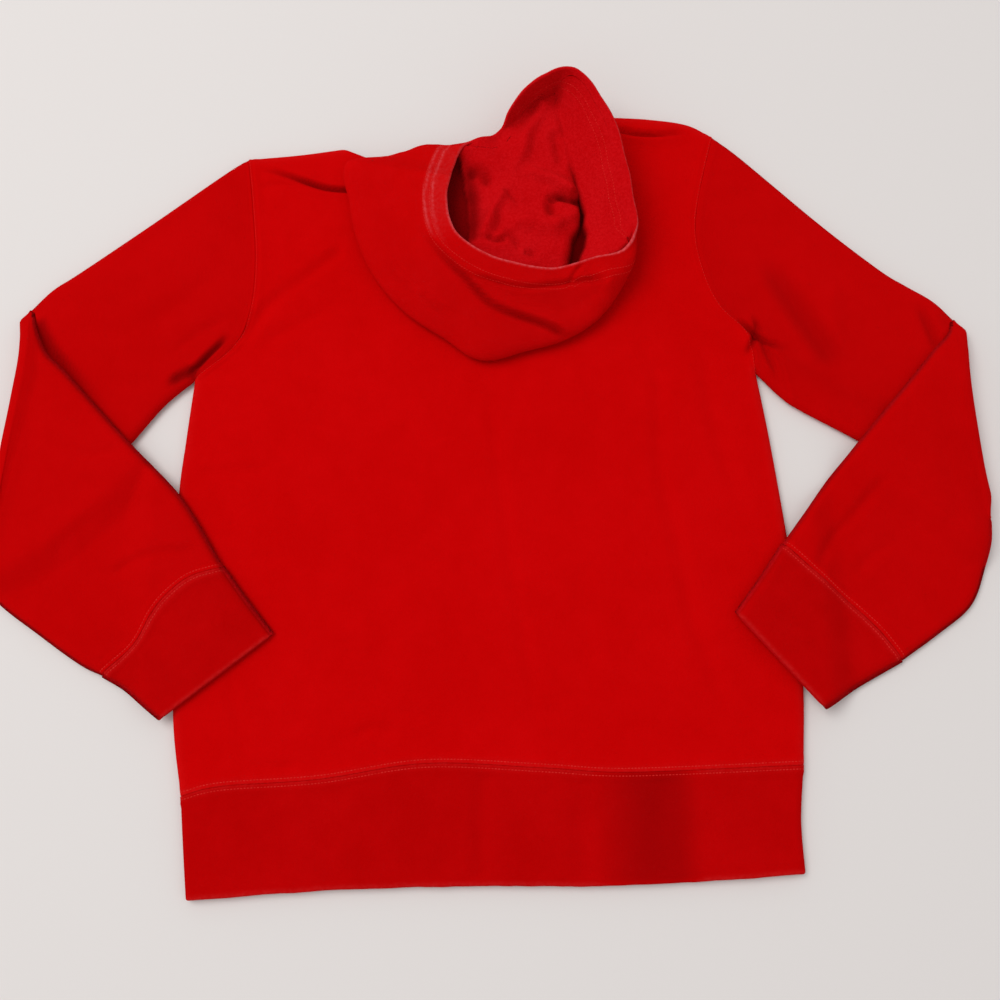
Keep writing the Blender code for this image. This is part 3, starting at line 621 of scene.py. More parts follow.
def seam_bulge(distance: Points, place: Points, seed: float) -> Points:
    """Relief of a sewn seam: its groove, the allowance below it and the dents of its rows.

    Args:
        distance: Distance from the seam at each point.
        place: Points at which the pucker is read.
        seed: Where the pucker's noise starts.

    Returns:
        Height at each point.
    """
    allowance = ALLOWANCE_RISE * smooth_step((ALLOWANCE_WIDTH - distance) / ALLOWANCE_EASE)
    dents = DENT_DEPTH * np.exp(-(((distance - STITCH_OFFSET) / DENT_WIDTH) ** 2))
    groove = GROOVE_DEPTH * np.exp(-((distance / DENT_WIDTH) ** 2))
    pucker = 1 + PUCKER * wander(place, PUCKER_SIZE, seed)
    drawn = DRAWN_RISE * wander(place, DRAWN_SIZE, seed + DRAWN_SEED)
    drawn = drawn * fading(distance, DRAWN_REACH)
    return (allowance - dents) * pucker - groove + drawn


# Faces of a cut end that are larger than this, in square metres, keep sharp edges.
CUT_FACE = 2e-7
# Points nearer to each other than this, in metres, are one.
WELD_REACH = 1e-7
# How far before and after a stitch the line is looked at for the stitch's direction.
LOOK_REACH = 0.8
# Stitches made at a time.
BATCH = 40


class Nodes:
    """Short ways to add shader nodes to one material."""

    def __init__(self, name: str) -> None:
        """Start a material with one shader.

        Args:
            name: Name of the material.
        """
        self.material = bpy.data.materials.new(name)
        self.material.use_nodes = True
        self.tree = self.material.node_tree
        self.shader = self.tree.nodes["Principled BSDF"]

    def add(self, kind: str, inputs: dict, **settings: str) -> bpy.types.Node:
        """Add a node.

        Args:
            kind: Its type.
            inputs: Values or sockets for its inputs, by name or index.
            settings: Its own properties.

        Returns:
            The node.
        """
        node = self.tree.nodes.new(kind)
        for key, value in settings.items():
            setattr(node, key, value)
        for key, value in inputs.items():
            if isinstance(value, Socket):
                self.tree.links.new(value, node.inputs[key])
            else:
                node.inputs[key].default_value = value
        return node

    def math(self, operation: str, first: Value, second: Value = 0.0, third: Value = 0.0) -> Socket:
        """Result of one calculation."""
        node = self.add("ShaderNodeMath", {0: first, 1: second, 2: third}, operation=operation)
        return node.outputs[0]

    def times(self, first: Value, second: Value) -> Socket:
        """The product of two values or sockets."""
        return self.math("MULTIPLY", first, second)

    def plus(self, first: Value, second: Value) -> Socket:
        """The sum of two values or sockets."""
        return self.math("ADD", first, second)

    def noise(
        self, vector: Socket, scale: float, detail: float = 2.0, rough: float = 0.5
    ) -> Socket:
        """Noise between 0 and 1."""
        inputs = {"Vector": vector, "Scale": scale, "Detail": detail, "Roughness": rough}
        return self.add("ShaderNodeTexNoise", inputs).outputs["Fac"]

    def spread(
        self, value: Value, low: float, high: float, to_low: float, to_high: float
    ) -> Socket:
        """The value moved from one range to another and kept within it."""
        inputs = {"Value": value, 1: low, 2: high, 3: to_low, 4: to_high}
        return self.add("ShaderNodeMapRange", inputs).outputs[0]

    def blend(self, share: Value, first: Tint, second: Tint) -> Socket:
        """One colour where share is 0 and another where it is 1."""
        node = self.add("ShaderNodeMix", {0: share, 6: first, 7: second}, data_type="RGBA")
        return node.outputs[2]

    def connect(self, socket: Socket, name: str) -> None:
        """Lead a socket to the shader's input of that name."""
        self.tree.links.new(socket, self.shader.inputs[name])

    def connect_bump(self, height: Socket, strength: float) -> None:
        """Lead a height in metres to the shader's normal."""
        bump = self.add("ShaderNodeBump", {"Height": height, "Distance": 1.0, "Strength": strength})
        self.connect(bump.outputs[0], "Normal")

    def wear(self) -> Socket:
        """The mesh's wear and painted light: above nought rubbed, or a painted highlight on the
        hood's rim; below nought painted shade, or plainly darker cloth.
        """
        return self.add("ShaderNodeAttribute", {}, attribute_name="wear").outputs["Fac"]

    def place(self) -> Socket:
        """Place in the piece, in metres."""
        return self.add("ShaderNodeTexCoord", {}).outputs["Object"]

    def set_inputs(self, values: dict) -> None:
        """Set some of the shader's inputs, by name."""
        for name, value in values.items():
            self.shader.inputs[name].default_value = value

    def shine(self, specular: float, sheen: float, roughness: float, tint: Colour) -> None:
        """Set the shader's gloss and the sheen of its fibres."""
        sheens = {"Sheen Weight": sheen, "Sheen Roughness": roughness, "Sheen Tint": tint}
        self.set_inputs({"Specular IOR Level": specular, **sheens})


@dataclass(frozen=True)
class KnitFleece:
    """Dyed cotton sweatshirt cloth: a fine knit face with a light nap.

    wale and course are the width and height of one stitch of the knit, in metres, and the scales
    are the cycles per metre of its fuzz, pills, stray fibres, mottling and clouds of colour. shade
    is the colour of painted shade in creases, and of the darker patch on the hem band and the
    sleeves.
    """

    name: str
    dye: Colour
    faded: Colour
    deep: Colour
    shade: Colour = (0.30, 0.0005, 0.001, 1.0)
    wale: float = 0.00105
    course: float = 0.0008
    knit_depth: float = 0.00022
    nap_depth: float = 0.0003
    fuzz_scale: float = 1500.0
    pill_scale: float = 420.0
    stray_scale: float = 950.0
    mottle_scale: float = 70.0
    cloud_scale: float = 9.0
    specular: float = 0.01
    sheen: float = 0.12
    sheen_roughness: float = 0.45
    sheen_tint: Colour = (1.0, 0.02, 0.02, 1.0)

    def material(self) -> Material:
        """Build the material.

        Returns:
            The finished material.
        """
        nodes = Nodes(self.name)
        cloth = nodes.add("ShaderNodeUVMap", {}, uv_map="cloth").outputs[0]
        place = nodes.place()
        knit = self.knit(nodes, cloth)
        fuzz = nodes.noise(place, self.fuzz_scale, 3.0, 0.7)
        pills = nodes.noise(place, self.pill_scale, 2.0, 0.5)
        nodes.connect(self.colour(nodes, place, knit, pills), "Base Color")
        height = nodes.times(knit, self.knit_depth)
        height = nodes.plus(height, nodes.times(fuzz, self.nap_depth * 0.5))
        height = nodes.plus(height, nodes.times(pills, self.nap_depth))
        nodes.connect_bump(height, 0.7)
        nodes.connect(nodes.spread(fuzz, 0.3, 0.7, 0.88, 1.0), "Roughness")
        nodes.shine(self.specular, self.sheen, self.sheen_roughness, self.sheen_tint)
        return nodes.material

    def colour(self, nodes: Nodes, place: Socket, knit: Socket, pills: Socket) -> Socket:
        """Colour of the cloth: uneven, rubbed where it is worn, painted shade in creases and
        between the stitches, and a painted highlight on the hood's rim.

        Args:
            nodes: The material's nodes.
            place: Place in the piece.
            knit: Height of the knit.
            pills: Noise of the pilled fibres.

        Returns:
            The colour.
        """
        clouds = nodes.noise(place, self.cloud_scale, 3.0, 0.55)
        mottle = nodes.noise(place, self.mottle_scale, 3.0, 0.6)
        tone = nodes.plus(nodes.times(clouds, 0.6), nodes.times(mottle, 0.4))
        colour = nodes.blend(nodes.spread(tone, 0.38, 0.62, 0.0, 1.0), self.deep, self.dye)
        wear = nodes.wear()
        # Below nought the wear attribute paints shade in creases, and makes the hem band's patch
        # and the sleeves darker.
        colour = nodes.blend(nodes.spread(wear, -1.0, 0.0, 1.0, 0.0), colour, self.shade)
        patchy = nodes.spread(pills, 0.35, 0.65, 0.35, 1.0)
        # Above nought it is rubbed wear, and on the hood's lower rim a painted highlight.
        rubbed = nodes.times(nodes.spread(wear, 0.0, 1.0, 0.0, 1.0), patchy)
        colour = nodes.blend(nodes.math("MINIMUM", rubbed, 1.0), colour, self.faded)
        stray = nodes.spread(nodes.noise(place, self.stray_scale, 2.0, 0.6), 0.62, 0.75, 0.0, 0.10)
        colour = nodes.blend(stray, colour, self.faded)
        # The knit's hollows are painted darker and its tops a little lighter, as painted shade and
        # light.
        shaded = nodes.add("ShaderNodeHueSaturation", {"Color": colour, "Fac": 1.0})
        nodes.tree.links.new(nodes.spread(knit, 0.0, 1.0, 0.9, 1.04), shaded.inputs["Value"])
        return shaded.outputs[0]

    def knit(self, nodes: Nodes, cloth: Socket) -> Socket:
        """Height of the knit, whose stitches stand in columns of small V shapes.

        Args:
            nodes: The material's nodes.
            cloth: Flat coordinates of the cloth.

        Returns:
            Height between 0 and 1.
        """
        axes = nodes.add("ShaderNodeSeparateXYZ", {0: cloth})
        column = nodes.math("FRACT", nodes.math("DIVIDE", axes.outputs[0], self.wale))
        off_centre = nodes.math("ABSOLUTE", nodes.math("SUBTRACT", column, 0.5))
        leg = nodes.math("SINE", nodes.times(off_centre, 2 * math.pi))
        slant = nodes.times(off_centre, 1.3)
        stitch = nodes.plus(nodes.math("DIVIDE", axes.outputs[1], self.course), slant)
        wave = nodes.math("SINE", nodes.times(stitch, 2 * math.pi))
        return nodes.times(leg, nodes.spread(wave, -1.0, 1.0, 0.45, 1.0))


@dataclass(frozen=True)
class BrushedFleece:
    """The inside of sweatshirt cloth, brushed into a soft pile.

    pile is its depth and drift how far its tufts are pulled about, in metres. The scales are the
    cycles per metre of the tufts, fibres, pull and clouds of colour. deep is the colour of the
    painted shade in the hood's hollows and creases.
    """

    name: str
    dye: Colour
    tips: Colour
    deep: Colour = (0.085, 0.0002, 0.0004, 1.0)
    pile: float = 0.0007
    drift: float = 0.003
    tuft_scale: float = 520.0
    fibre_scale: float = 1700.0
    drift_scale: float = 160.0
    cloud_scale: float = 30.0
    specular: float = 0.01
    sheen: float = 0.10
    sheen_roughness: float = 0.5
    sheen_tint: Colour = (1.0, 0.03, 0.03, 1.0)

    def material(self) -> Material:
        """Build the material.

        Returns:
            The finished material.
        """
        nodes = Nodes(self.name)
        place = nodes.place()
        drift = nodes.add("ShaderNodeTexNoise", {"Vector": place, "Scale": self.drift_scale})
        pull = {0: drift.outputs["Color"], "Scale": self.drift}
        pulled = nodes.add("ShaderNodeVectorMath", pull, operation="SCALE").outputs[0]
        warped = nodes.add("ShaderNodeVectorMath", {0: place, 1: pulled},
                           operation="ADD").outputs[0]
        tufts = nodes.noise(warped, self.tuft_scale, 4.0, 0.65)
        fibres = nodes.noise(warped, self.fibre_scale, 2.0, 0.7)
        clouds = nodes.noise(place, self.cloud_scale, 2.0, 0.5)
        share = nodes.plus(nodes.times(tufts, 0.7), nodes.times(clouds, 0.3))
        colour = nodes.blend(nodes.spread(share, 0.4, 0.68, 0.0, 1.0), self.dye, self.tips)
        # Below nought the wear attribute paints shade, deepest in the hood's hollows.
        colour = nodes.blend(nodes.spread(nodes.wear(), -1.0, 0.0, 1.0, 0.0), colour, self.deep)
        nodes.connect(colour, "Base Color")
        height = nodes.plus(nodes.times(tufts, self.pile), nodes.times(fibres, self.pile * 0.4))
        nodes.connect_bump(height, 0.8)
        nodes.connect(nodes.spread(fibres, 0.3, 0.7, 0.9, 1.0), "Roughness")
        nodes.shine(self.specular, self.sheen, self.sheen_roughness, self.sheen_tint)
        return nodes.material


@dataclass(frozen=True)
class SpunThread:
    """Sewing thread, twisted and a little shinier than the cloth.

    twist is the length of one turn and ply_depth the depth between its plies, in metres.
    """

    name: str
    dye: Colour
    light: Colour
    twist: float = 0.0006
    ply_depth: float = 0.00012
    tone_scale: float = 300.0
    specular: float = 0.06
    sheen: float = 0.2
    sheen_roughness: float = 0.5
    sheen_tint: Colour = (1.0, 0.12, 0.12, 1.0)

    def material(self) -> Material:
        """Build the material.

        Returns:
            The finished material.
        """
        nodes = Nodes(self.name)
        place = nodes.place()
        wave = {"Vector": place, "Scale": 0.5 / self.twist, "Distortion": 1.5}
        plies = nodes.add("ShaderNodeTexWave", wave, bands_direction="DIAGONAL").outputs["Fac"]
        tone = nodes.spread(nodes.noise(place, self.tone_scale, 2.0), 0.35, 0.65, 0.0, 1.0)
        nodes.connect(nodes.blend(tone, self.dye, self.light), "Base Color")
        nodes.connect_bump(nodes.times(plies, self.ply_depth), 0.6)
        nodes.connect(nodes.spread(plies, 0.0, 1.0, 0.62, 0.8), "Roughness")
        nodes.shine(self.specular, self.sheen, self.sheen_roughness, self.sheen_tint)
        return nodes.material


class Finish(Enum):
    """The record's material slots."""

    FLEECE = "fleece"
    BAND = "band"
    HOOD = "hood"


class Hold(Enum):
    """How a sheet of cloth lies."""

    LAID = "laid"
    FOLDED = "folded"


@dataclass(frozen=True)
class Cut:
    """The flat cut of a piece: the box it comes from, in metres, and its own area."""

    width: float
    length: float
    area: float
    hold: Hold
    rests_on: tuple[str, ...]


# The cut of each node's cloth.
CUTS = {
    "front": Cut(0.470, 0.540, 0.205, Hold.LAID, ("floor",)),
    "back": Cut(0.470, 0.540, 0.210, Hold.LAID, ("front_cloth",)),
    "hem_band": Cut(0.890, 0.080, 0.071, Hold.LAID, ("floor",)),
    "sleeve_left": Cut(0.40, 0.42, 0.119, Hold.FOLDED, ("floor", "back_cloth")),
    "sleeve_right": Cut(0.40, 0.42, 0.113, Hold.FOLDED, ("floor", "back_cloth")),
    "cuff_left": Cut(0.23, 0.065, 0.0145, Hold.LAID, ("back_cloth", "floor")),
    "cuff_right": Cut(0.23, 0.065, 0.0145, Hold.LAID, ("back_cloth", "floor")),
    "hood_left": Cut(0.26, 0.30, 0.043, Hold.FOLDED, ("back_cloth",)),
    "hood_right": Cut(0.20, 0.30, 0.026, Hold.FOLDED, ("back_cloth",)),
}


class Wardrobe:
    """The finishes of the garment, each made once."""

    def __init__(self) -> None:
        """Make the materials."""
        self.face = KnitFleece(
            "fleece_face", dye=(0.63, 0.0008, 0.0015, 1), faded=(0.74, 0.035, 0.035, 1),
            deep=(0.59, 0.0004, 0.0008, 1)
        ).material()
        self.band = KnitFleece(
            "fleece_band", dye=(0.54, 0.0008, 0.0015, 1), faded=(0.70, 0.035, 0.035, 1),
            deep=(0.49, 0.0004, 0.0008, 1), course=0.00085
        ).material()
        # The hood's pinker faded colour shows its worn streaks and also the painted highlight on
        # its rim.
        self.hood = KnitFleece(
            "fleece_hood", dye=(0.63, 0.0012, 0.002, 1), faded=(0.76, 0.09, 0.10, 1),
            deep=(0.59, 0.0006, 0.001, 1), sheen=0.09
        ).material()
        self.inside = BrushedFleece(
            "fleece_inside", dye=(0.50, 0.0015, 0.003, 1), tips=(0.60, 0.005, 0.008, 1)
        ).material()
        self.thread = SpunThread(
            "thread", dye=(0.64, 0.010, 0.008, 1), light=(0.76, 0.03, 0.025, 1)
        ).material()

    def for_slot(self, slot: Finish) -> Material:
        """Material of the cloth's face for a slot."""
        return {Finish.FLEECE: self.face, Finish.BAND: self.band, Finish.HOOD: self.hood}[slot]


def to_part(points: Points) -> Points:
    """Garment millimetres to metres of the part's frame.

    Args:
        points: Points in garment millimetres.

    Returns:
        The same points in the part's frame.
    """
    shifted = np.array(points, dtype=float)
    shifted[..., 0] -= GARMENT_CENTRE[0]
    shifted[..., 1] -= GARMENT_CENTRE[1]
    return shifted * MM


def stand(name: str, data: bpy.types.ID) -> Piece:
    """A new object in the scene.

    Args:
        name: Its name.
        data: What it shows or holds.

    Returns:
        The object.
    """
    made = bpy.data.objects.new(name, data)
    bpy.context.scene.collection.objects.link(made)
    return made


def sew_wall(
    name: str, wall: Wall, face: Material, inside: Material,
    keep: Optional[Points] = None,
) -> Piece:
    """One closed wall of cloth as an object.

    Args:
        name: Name of the object.
        wall: Its two sheets.
        face: Material of the outer sheet.
        inside: Material of the inner sheet.
        keep: Table of the cells that the piece has, if not all.

    Returns:
        The object, with its flat coordinates and its wear and painted light.
    """
    rows, columns = wall.outer.shape[:2]
    cells_across = columns if wall.ring else columns - 1
    outer, inner, flat = to_part(wall.outer), to_part(wall.inner), wall.flat() * MM
    mesh = bmesh.new()
    spot = mesh.verts.layers.int.new("spot")
    wear_and_light_layer = mesh.verts.layers.float.new("wear")
    cloth = mesh.loops.layers.uv.new("cloth")
    bmesh.ops.create_grid(mesh, x_segments=cells_across, y_segments=rows - 1, size=1.0)
    if keep is not None:
        spare = []
        for face_ in mesh.faces:
            centre = face_.calc_center_median()
            column = int((centre.x + 1) / 2 * cells_across)
            row = int((centre.y + 1) / 2 * (rows - 1))
            if not keep[row, column]:
                spare.append(face_)
        bmesh.ops.delete(mesh, geom=spare, context="FACES")
    for vertex in mesh.verts:
        column = round((vertex.co.x + 1) / 2 * cells_across)
        row = round((vertex.co.y + 1) / 2 * (rows - 1))
        for loop in vertex.link_loops:
            loop[cloth].uv = flat[row, column]
        column %= columns
        vertex[spot] = row * columns + column
        vertex[wear_and_light_layer] = wall.wear[row, column]
        vertex.co = outer[row, column]
    bmesh.ops.remove_doubles(mesh, verts=mesh.verts[:], dist=WELD_REACH)
    pushed = bmesh.ops.extrude_face_region(mesh, geom=mesh.faces[:])["geom"]
    lining = set()
    for vertex in pushed:
        if isinstance(vertex, bmesh.types.BMVert):
            vertex.co = inner[divmod(vertex[spot], columns)]
            lining.add(vertex)
    for face_ in mesh.faces:
        face_.smooth = True
        face_.material_index = int(all(vertex in lining for vertex in face_.verts))
    bmesh.ops.recalc_face_normals(mesh, faces=mesh.faces[:])
    if mesh.calc_volume(signed=True) < 0:
        bmesh.ops.reverse_faces(mesh, faces=mesh.faces[:])
    for edge in mesh.edges:
        ends = [vertex in lining for vertex in edge.verts]
        cut = [
            face_ for face_ in edge.link_faces
            if len({vertex in lining for vertex in face_.verts}) == 2
        ]
        if ends[0] == ends[1] and len(cut) == 1 and cut[0].calc_area() > CUT_FACE:
            edge.smooth = False
    data = bpy.data.meshes.new(name)
    mesh.to_mesh(data)
    mesh.free()
    data.materials.append(face)
    data.materials.append(inside)
    return stand(name, data)


@dataclass
class StitchRow:
    """A row of straight stitches of one length along a line on the cloth."""

    points: Points
    out: Points
    closed: bool = False
    pitch: float = 2.4
    length: float = 1.8
    width: float = 0.72
    height: float = 0.5
    sunk: float = 0.04

    def places(self) -> list[Matrix]:
        """Matrices of all its stitches, in the part's frame.

        Returns:
            The matrices, in the order of the row.
        """
        points, out = self.points, self.out
        if self.closed:
            points = np.concatenate([points, points[:1]])
            out = np.concatenate([out, out[:1]])
        steps = np.linalg.norm(np.diff(points, axis=0), axis=1)
        total = np.concatenate([[0.0], np.cumsum(steps)])
        count = max(1, int(total[-1] / self.pitch))
        centres = (np.arange(count) + 0.5) * total[-1] / count

        def beside(values: Points, shift: float = 0.0) -> Points:
            """Values at the stitches' centres, or a shift on from them."""
            return np.stack([np.interp(centres + shift, total, axis) for axis in values.T], -1)

        runs = beside(points, LOOK_REACH) - beside(points, -LOOK_REACH)
        places = []
        for middle, run, normal in zip(beside(points), runs, beside(out)):
            along = Vector(run).normalized()
            up = Vector(normal)
            up = (up - along * up.dot(along)).normalized()
            side = up.cross(along)
            turn = Matrix((along, side, up)).transposed().to_4x4()
            size = Matrix.Diagonal((self.length / 2, self.width / 2, self.height / 2, 1 / MM))
            spot = middle + np.array(up) * self.sunk
            spot[2] = max(spot[2], self.height / 2)
            place = Matrix.Translation(Vector(to_part(spot)))
            places.append(place @ turn @ (size * MM))
        return places


def sew_rows(name: str, rows: Sequence[StitchRow], thread: Material) -> Piece:
    """Stitch rows as one object.

    Args:
        name: Name of the object.
        rows: The rows.
        thread: Material of the thread.

    Returns:
        The object.
    """
    places = [place for row in rows for place in row.places()]
    data = bpy.data.meshes.new(name)
    whole = bmesh.new()
    for start in range(0, len(places), BATCH):
        batch = bmesh.new()
        for place in places[start : start + BATCH]:
            bmesh.ops.create_uvsphere(batch, u_segments=6, v_segments=4, radius=1.0, matrix=place)
        for face in batch.faces:
            face.smooth = True
        bmesh.ops.recalc_face_normals(batch, faces=batch.faces[:])
        batch.to_mesh(data)
        batch.free()
        whole.from_mesh(data)
    whole.to_mesh(data)
    whole.free()
    data.materials.append(thread)
    return stand(name, data)


def pressed_layer(
    plan: Points, folds: Folds, side: int, wall: float, seam: float = 0.0
) -> tuple[Points, Points]:
    """Outer and inner points of one layer of a flattened tube.

    Args:
        plan: Plan points.
        folds: The folded edges.
        side: 1 for the layer that faces up, -1 for the one on the floor.
        wall: Thickness of the cloth.
        seam: Gap left at the folded edge where the layer ends there.

    Returns:
        The two sheets.
    """
    reach, inward = folds.nearest(plan)
    edge = np.clip(1 - reach / FOLD_REACH, 0.0, 1.0)
    rise = np.sqrt(1 - edge**2)
    half = LOFT / 2
    outer_z = half + side * (seam / 2 + (half - seam / 2) * rise)
    inner_z = half + side * (seam / 2 + (half - seam / 2 - wall) * rise)
    shifted = plan + inward * (wall * edge)[..., None]
    outer = np.concatenate([plan, outer_z[..., None]], axis=-1)
    inner = np.concatenate([shifted, inner_z[..., None]], axis=-1)
    return outer, inner


def pressed_tube(
    plan: Points, folds: Folds, wall: float, top_first: bool = True
) -> tuple[Points, Points]:
    """Outer and inner rings of a flattened tube.

    Args:
        plan: Plan points of one layer.
        folds: The folded edges.
        wall: Thickness of the cloth.
        top_first: Whether the rings start with the layer that faces up.

    Returns:
        The two sheets, whose rows go over one layer and back along the other.
    """
    side = 1 if top_first else -1
    first = pressed_layer(plan, folds, side, wall)
    second = pressed_layer(plan[:, -2:0:-1], folds, -side, wall)
    outer, inner = (np.concatenate(pair, axis=1) for pair in zip(first, second))
    return outer, inner


def round_trip(values: Points) -> Points:
    """Values of one layer, continued back along the other layer of its tube."""
    return np.concatenate([values, values[:, -2:0:-1]], axis=1)


def on_first(values: Points) -> Points:
    """Values along a tube's first layer, and nought along its second."""
    return np.concatenate([values, 0 * values[:, -2:0:-1]], axis=1)


def on_second(values: Points) -> Points:
    """Nought along a tube's first layer, and the values along its second."""
    return np.concatenate([0 * values, values[:, -2:0:-1]], axis=1)


def in_first(wall: Wall, columns: Points) -> Points:
    """Whether each column of a tube is one of its first layer's."""
    return (np.arange(wall.outer.shape[1]) < len(columns))[None, :]


def swell_shown(wall: Wall, bulge: Points, shown: Points) -> None:
    """Swell a tube by a seam's relief, and where it doesn't show only by the hollows in it."""
    wall.swell(np.where(shown, bulge, np.minimum(bulge, 0.0)))


def off_folds(folds: Folds, plan: Points) -> Points:
    """Ease from 0 at the folded edges to 1 well away from them."""
    return smooth_step(folds.nearest(plan)[0] / (2 * FOLD_REACH))


@dataclass(frozen=True)
class SleeveShape:
    """Plan edges of one sleeve, each listed from the armhole towards the cuff."""

    name: str
    armhole: PlanLine
    upper_top: PlanLine
    upper_underarm: PlanLine
    fold: PlanLine
    forearm_top: PlanLine
    forearm_under: PlanLine
    cuff_seam: PlanLine
    cuff_top: PlanLine
    cuff_under: PlanLine
    outward: float
    cuff_lift: float
    upper_relief: Relief
    forearm_relief: Relief


# A seventh number on a sleeve's crease is painted shade.
LEFT_SLEEVE = SleeveShape(
    name="left",
    armhole=LEFT_ARMHOLE,
    upper_top=((-202, 562), (-219, 551), (-279, 504), (-332, 463.5), (-352, 449), (-367.5, 432)),
    upper_underarm=((-235, 374), (-258, 353), (-283, 321), (-308, 292), (-340, 263), (-376, 240)),
    fold=((-367.5, 432), (-363, 398), (-366, 357), (-370, 318), (-373, 279), (-376, 240)),
    forearm_top=((-367.5, 432), (-360.5, 413), (-350, 392.5), (-334, 377), (-278, 318), (-238, 277),
                 (-205, 226)),
    forearm_under=((-376, 240), (-379.5, 226), (-373, 205), (-337, 178), (-306, 157), (-289, 149)),
    cuff_seam=((-205, 226), (-227, 219), (-244, 205), (-254, 191), (-265, 171), (-289, 149)),
    cuff_top=((-205, 226), (-187, 202), (-166, 176)),
    cuff_under=((-289, 149), (-268, 137), (-242, 117)),
    outward=-1.0,
    cuff_lift=-2.4,
    upper_relief=Relief(
        (
            *LEFT_ARMPIT,
            Crease(((-208, 425), (-232, 412), (-258, 392)), 1.0, 9, 0.3, 0.3),
            Crease(((-230, 540), (-262, 505), (-300, 470)), 0.9, 22, 0.2, 0.2),
            Crease(((-215, 470), (-245, 440), (-285, 415)), 1.2, 18, 0.3, 0.2),
            Crease(((-360, 425), (-356, 413), (-346, 396), (-332, 381), (-311, 358), (-290, 334)),
                   3.2, 7.5, 0.3, 0.0, (0.1, 0.6), 0.75),
        ),
        ripple=0.45, seed=2.0,
    ),
    forearm_relief=Relief(
        (
            Crease(((-293, 217), (-270, 232), (-240, 238), (-220, 236)), 1.7, 8, 0.7, 0.2),
            Crease(((-326, 308), (-296, 314), (-262, 322)), 1.0, 11, 0.2, 0.3),
            Crease(((-350, 392), (-356, 350), (-352, 300)), 1.0, 16, 0.2, 0.2),
            Crease(((-335, 230), (-318, 252), (-296, 268)), 0.8, 11, 0.2, 0.3),
        ),
        ripple=0.5, seed=4.0,
    ),
)
RIGHT_SLEEVE = SleeveShape(
    name="right",
    armhole=RIGHT_ARMHOLE,
    upper_top=((175, 582), (197, 564), (259, 505), (304, 466), (323, 453), (344, 439.5),
               (358.5, 424)),
    upper_underarm=((201, 380), (219, 361), (234, 350), (280, 324), (320, 298), (367.5, 262)),
    fold=((358.5, 424), (357, 374), (360, 318), (363, 288), (367.5, 262)),
    forearm_top=((358.5, 424), (353, 410), (339, 395), (318, 370), (277, 323), (243, 281),
                 (214, 243)),
    forearm_under=((367.5, 262), (366.5, 245), (361.5, 222), (350, 199), (326, 180), (297, 160)),
    cuff_seam=((214, 243), (235, 223), (250, 210), (266, 196), (282, 180), (297, 160)),
    cuff_top=((214, 243), (196, 217), (176, 191)),
    cuff_under=((297, 160), (264, 142), (235, 125)),
    outward=1.0,
    cuff_lift=2.6,
    upper_relief=Relief(
        (
            *RIGHT_ARMPIT,
            Crease(((210, 478), (228, 445), (245, 417), (258, 395), (262, 380)),
                   3.2, 15, 1.4, 0.3, (0.2, 0.3), 0.32),
            Crease(((268, 458), (262, 428), (268, 396)), -1.2, 14),
            Crease(((292, 356), (312, 342), (334, 330)), 1.1, 11, 0.2, 0.3),
            Crease(((337, 392), (340, 350), (330, 310)), 1.1, 14, 0.3, 0.0),
            Crease(((330, 440), (336, 424), (341, 409), (342, 398)),
                   3.0, 7, 0.4, 0.4, (0.4, 0.2), 0.3),
        ),
        ripple=0.5, seed=6.0,
    ),
    forearm_relief=Relief(
        (
            Crease(((232, 217), (250, 247), (271, 269), (299, 303)), 1.7, 9, 0.7, 0.3),
            Crease(((330, 330), (345, 290), (340, 240)), 1.0, 18, 0.2, 0.2),
            Crease(((262, 214), (280, 236), (306, 250)), 0.8, 10, 0.3, 0.2),
        ),
        ripple=0.5, seed=8.0,
    ),
)


class GroundPlan:
    """Where the body and the upper sleeves lie, and how high cloth on top of them rests."""

    def __init__(self, left: SleeveShape, right: SleeveShape) -> None:
        """Walk round the body and the upper sleeves.

        Args:
            left: The left sleeve.
            right: The right sleeve.
        """
        left_under = chain(LEFT_SIDE, left.upper_underarm)[::-1]
        right_under = chain(RIGHT_SIDE, right.upper_underarm)
        left_top = chain(LEFT_SHOULDER[::-1], left.upper_top)
        right_top = chain(RIGHT_SHOULDER, right.upper_top)[::-1]
        left_hem = Curve(LEFT_HEM_SIDE).line
        right_hem = Curve(RIGHT_HEM_SIDE).line
        self.folds = Folds(
            np.concatenate([left_under, left_hem[-2::-1]]),
            np.concatenate([right_hem[:-1], right_under]),
            left_top,
            right_top,
        )
        neck = Curve(BACK_NECK).line[::-1]
        self.border = np.concatenate([left_under, right_under, right_top, neck, left_top])

    def rest_height(self, plan: Points) -> Points:
        """Height at which cloth rests."""
        outside = -depth_inside(self.border, plan) - DRAPE_MARGIN
        return (LOFT + LAYER_CLEARANCE) * fading(outside, DRAPE_REACH)


@dataclass
class Dresser:
    """Hands finished pieces over to the frame."""

    finishes: Wardrobe

    def sew(
        self, node: str, wall: Wall, slot: Finish,
        rows: Sequence[StitchRow] = (), keep: Optional[Points] = None,
    ) -> None:
        """Make a piece of cloth and its stitches in place of a node.

        Args:
            node: The node that it stands for.
            wall: Its two sheets.
            slot: The finish that it takes.
            rows: Stitch rows on it.
            keep: Table of the cells that it has, if not all.
        """
        cut, face = CUTS[node], self.finishes.for_slot(slot)
        piece = sew_wall(node + "_cloth", wall, face, self.finishes.inside, keep)
        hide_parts(node)
        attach(piece, "root")
        with_pieces = []
        if rows:
            stitches = sew_rows(node + "_stitching", rows, self.finishes.thread)
            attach(stitches, "root")
            with_pieces.append(stitches)
        for made in (*with_pieces, piece):
            LOG.info("%s: %d faces", made.name, len(made.data.polygons))
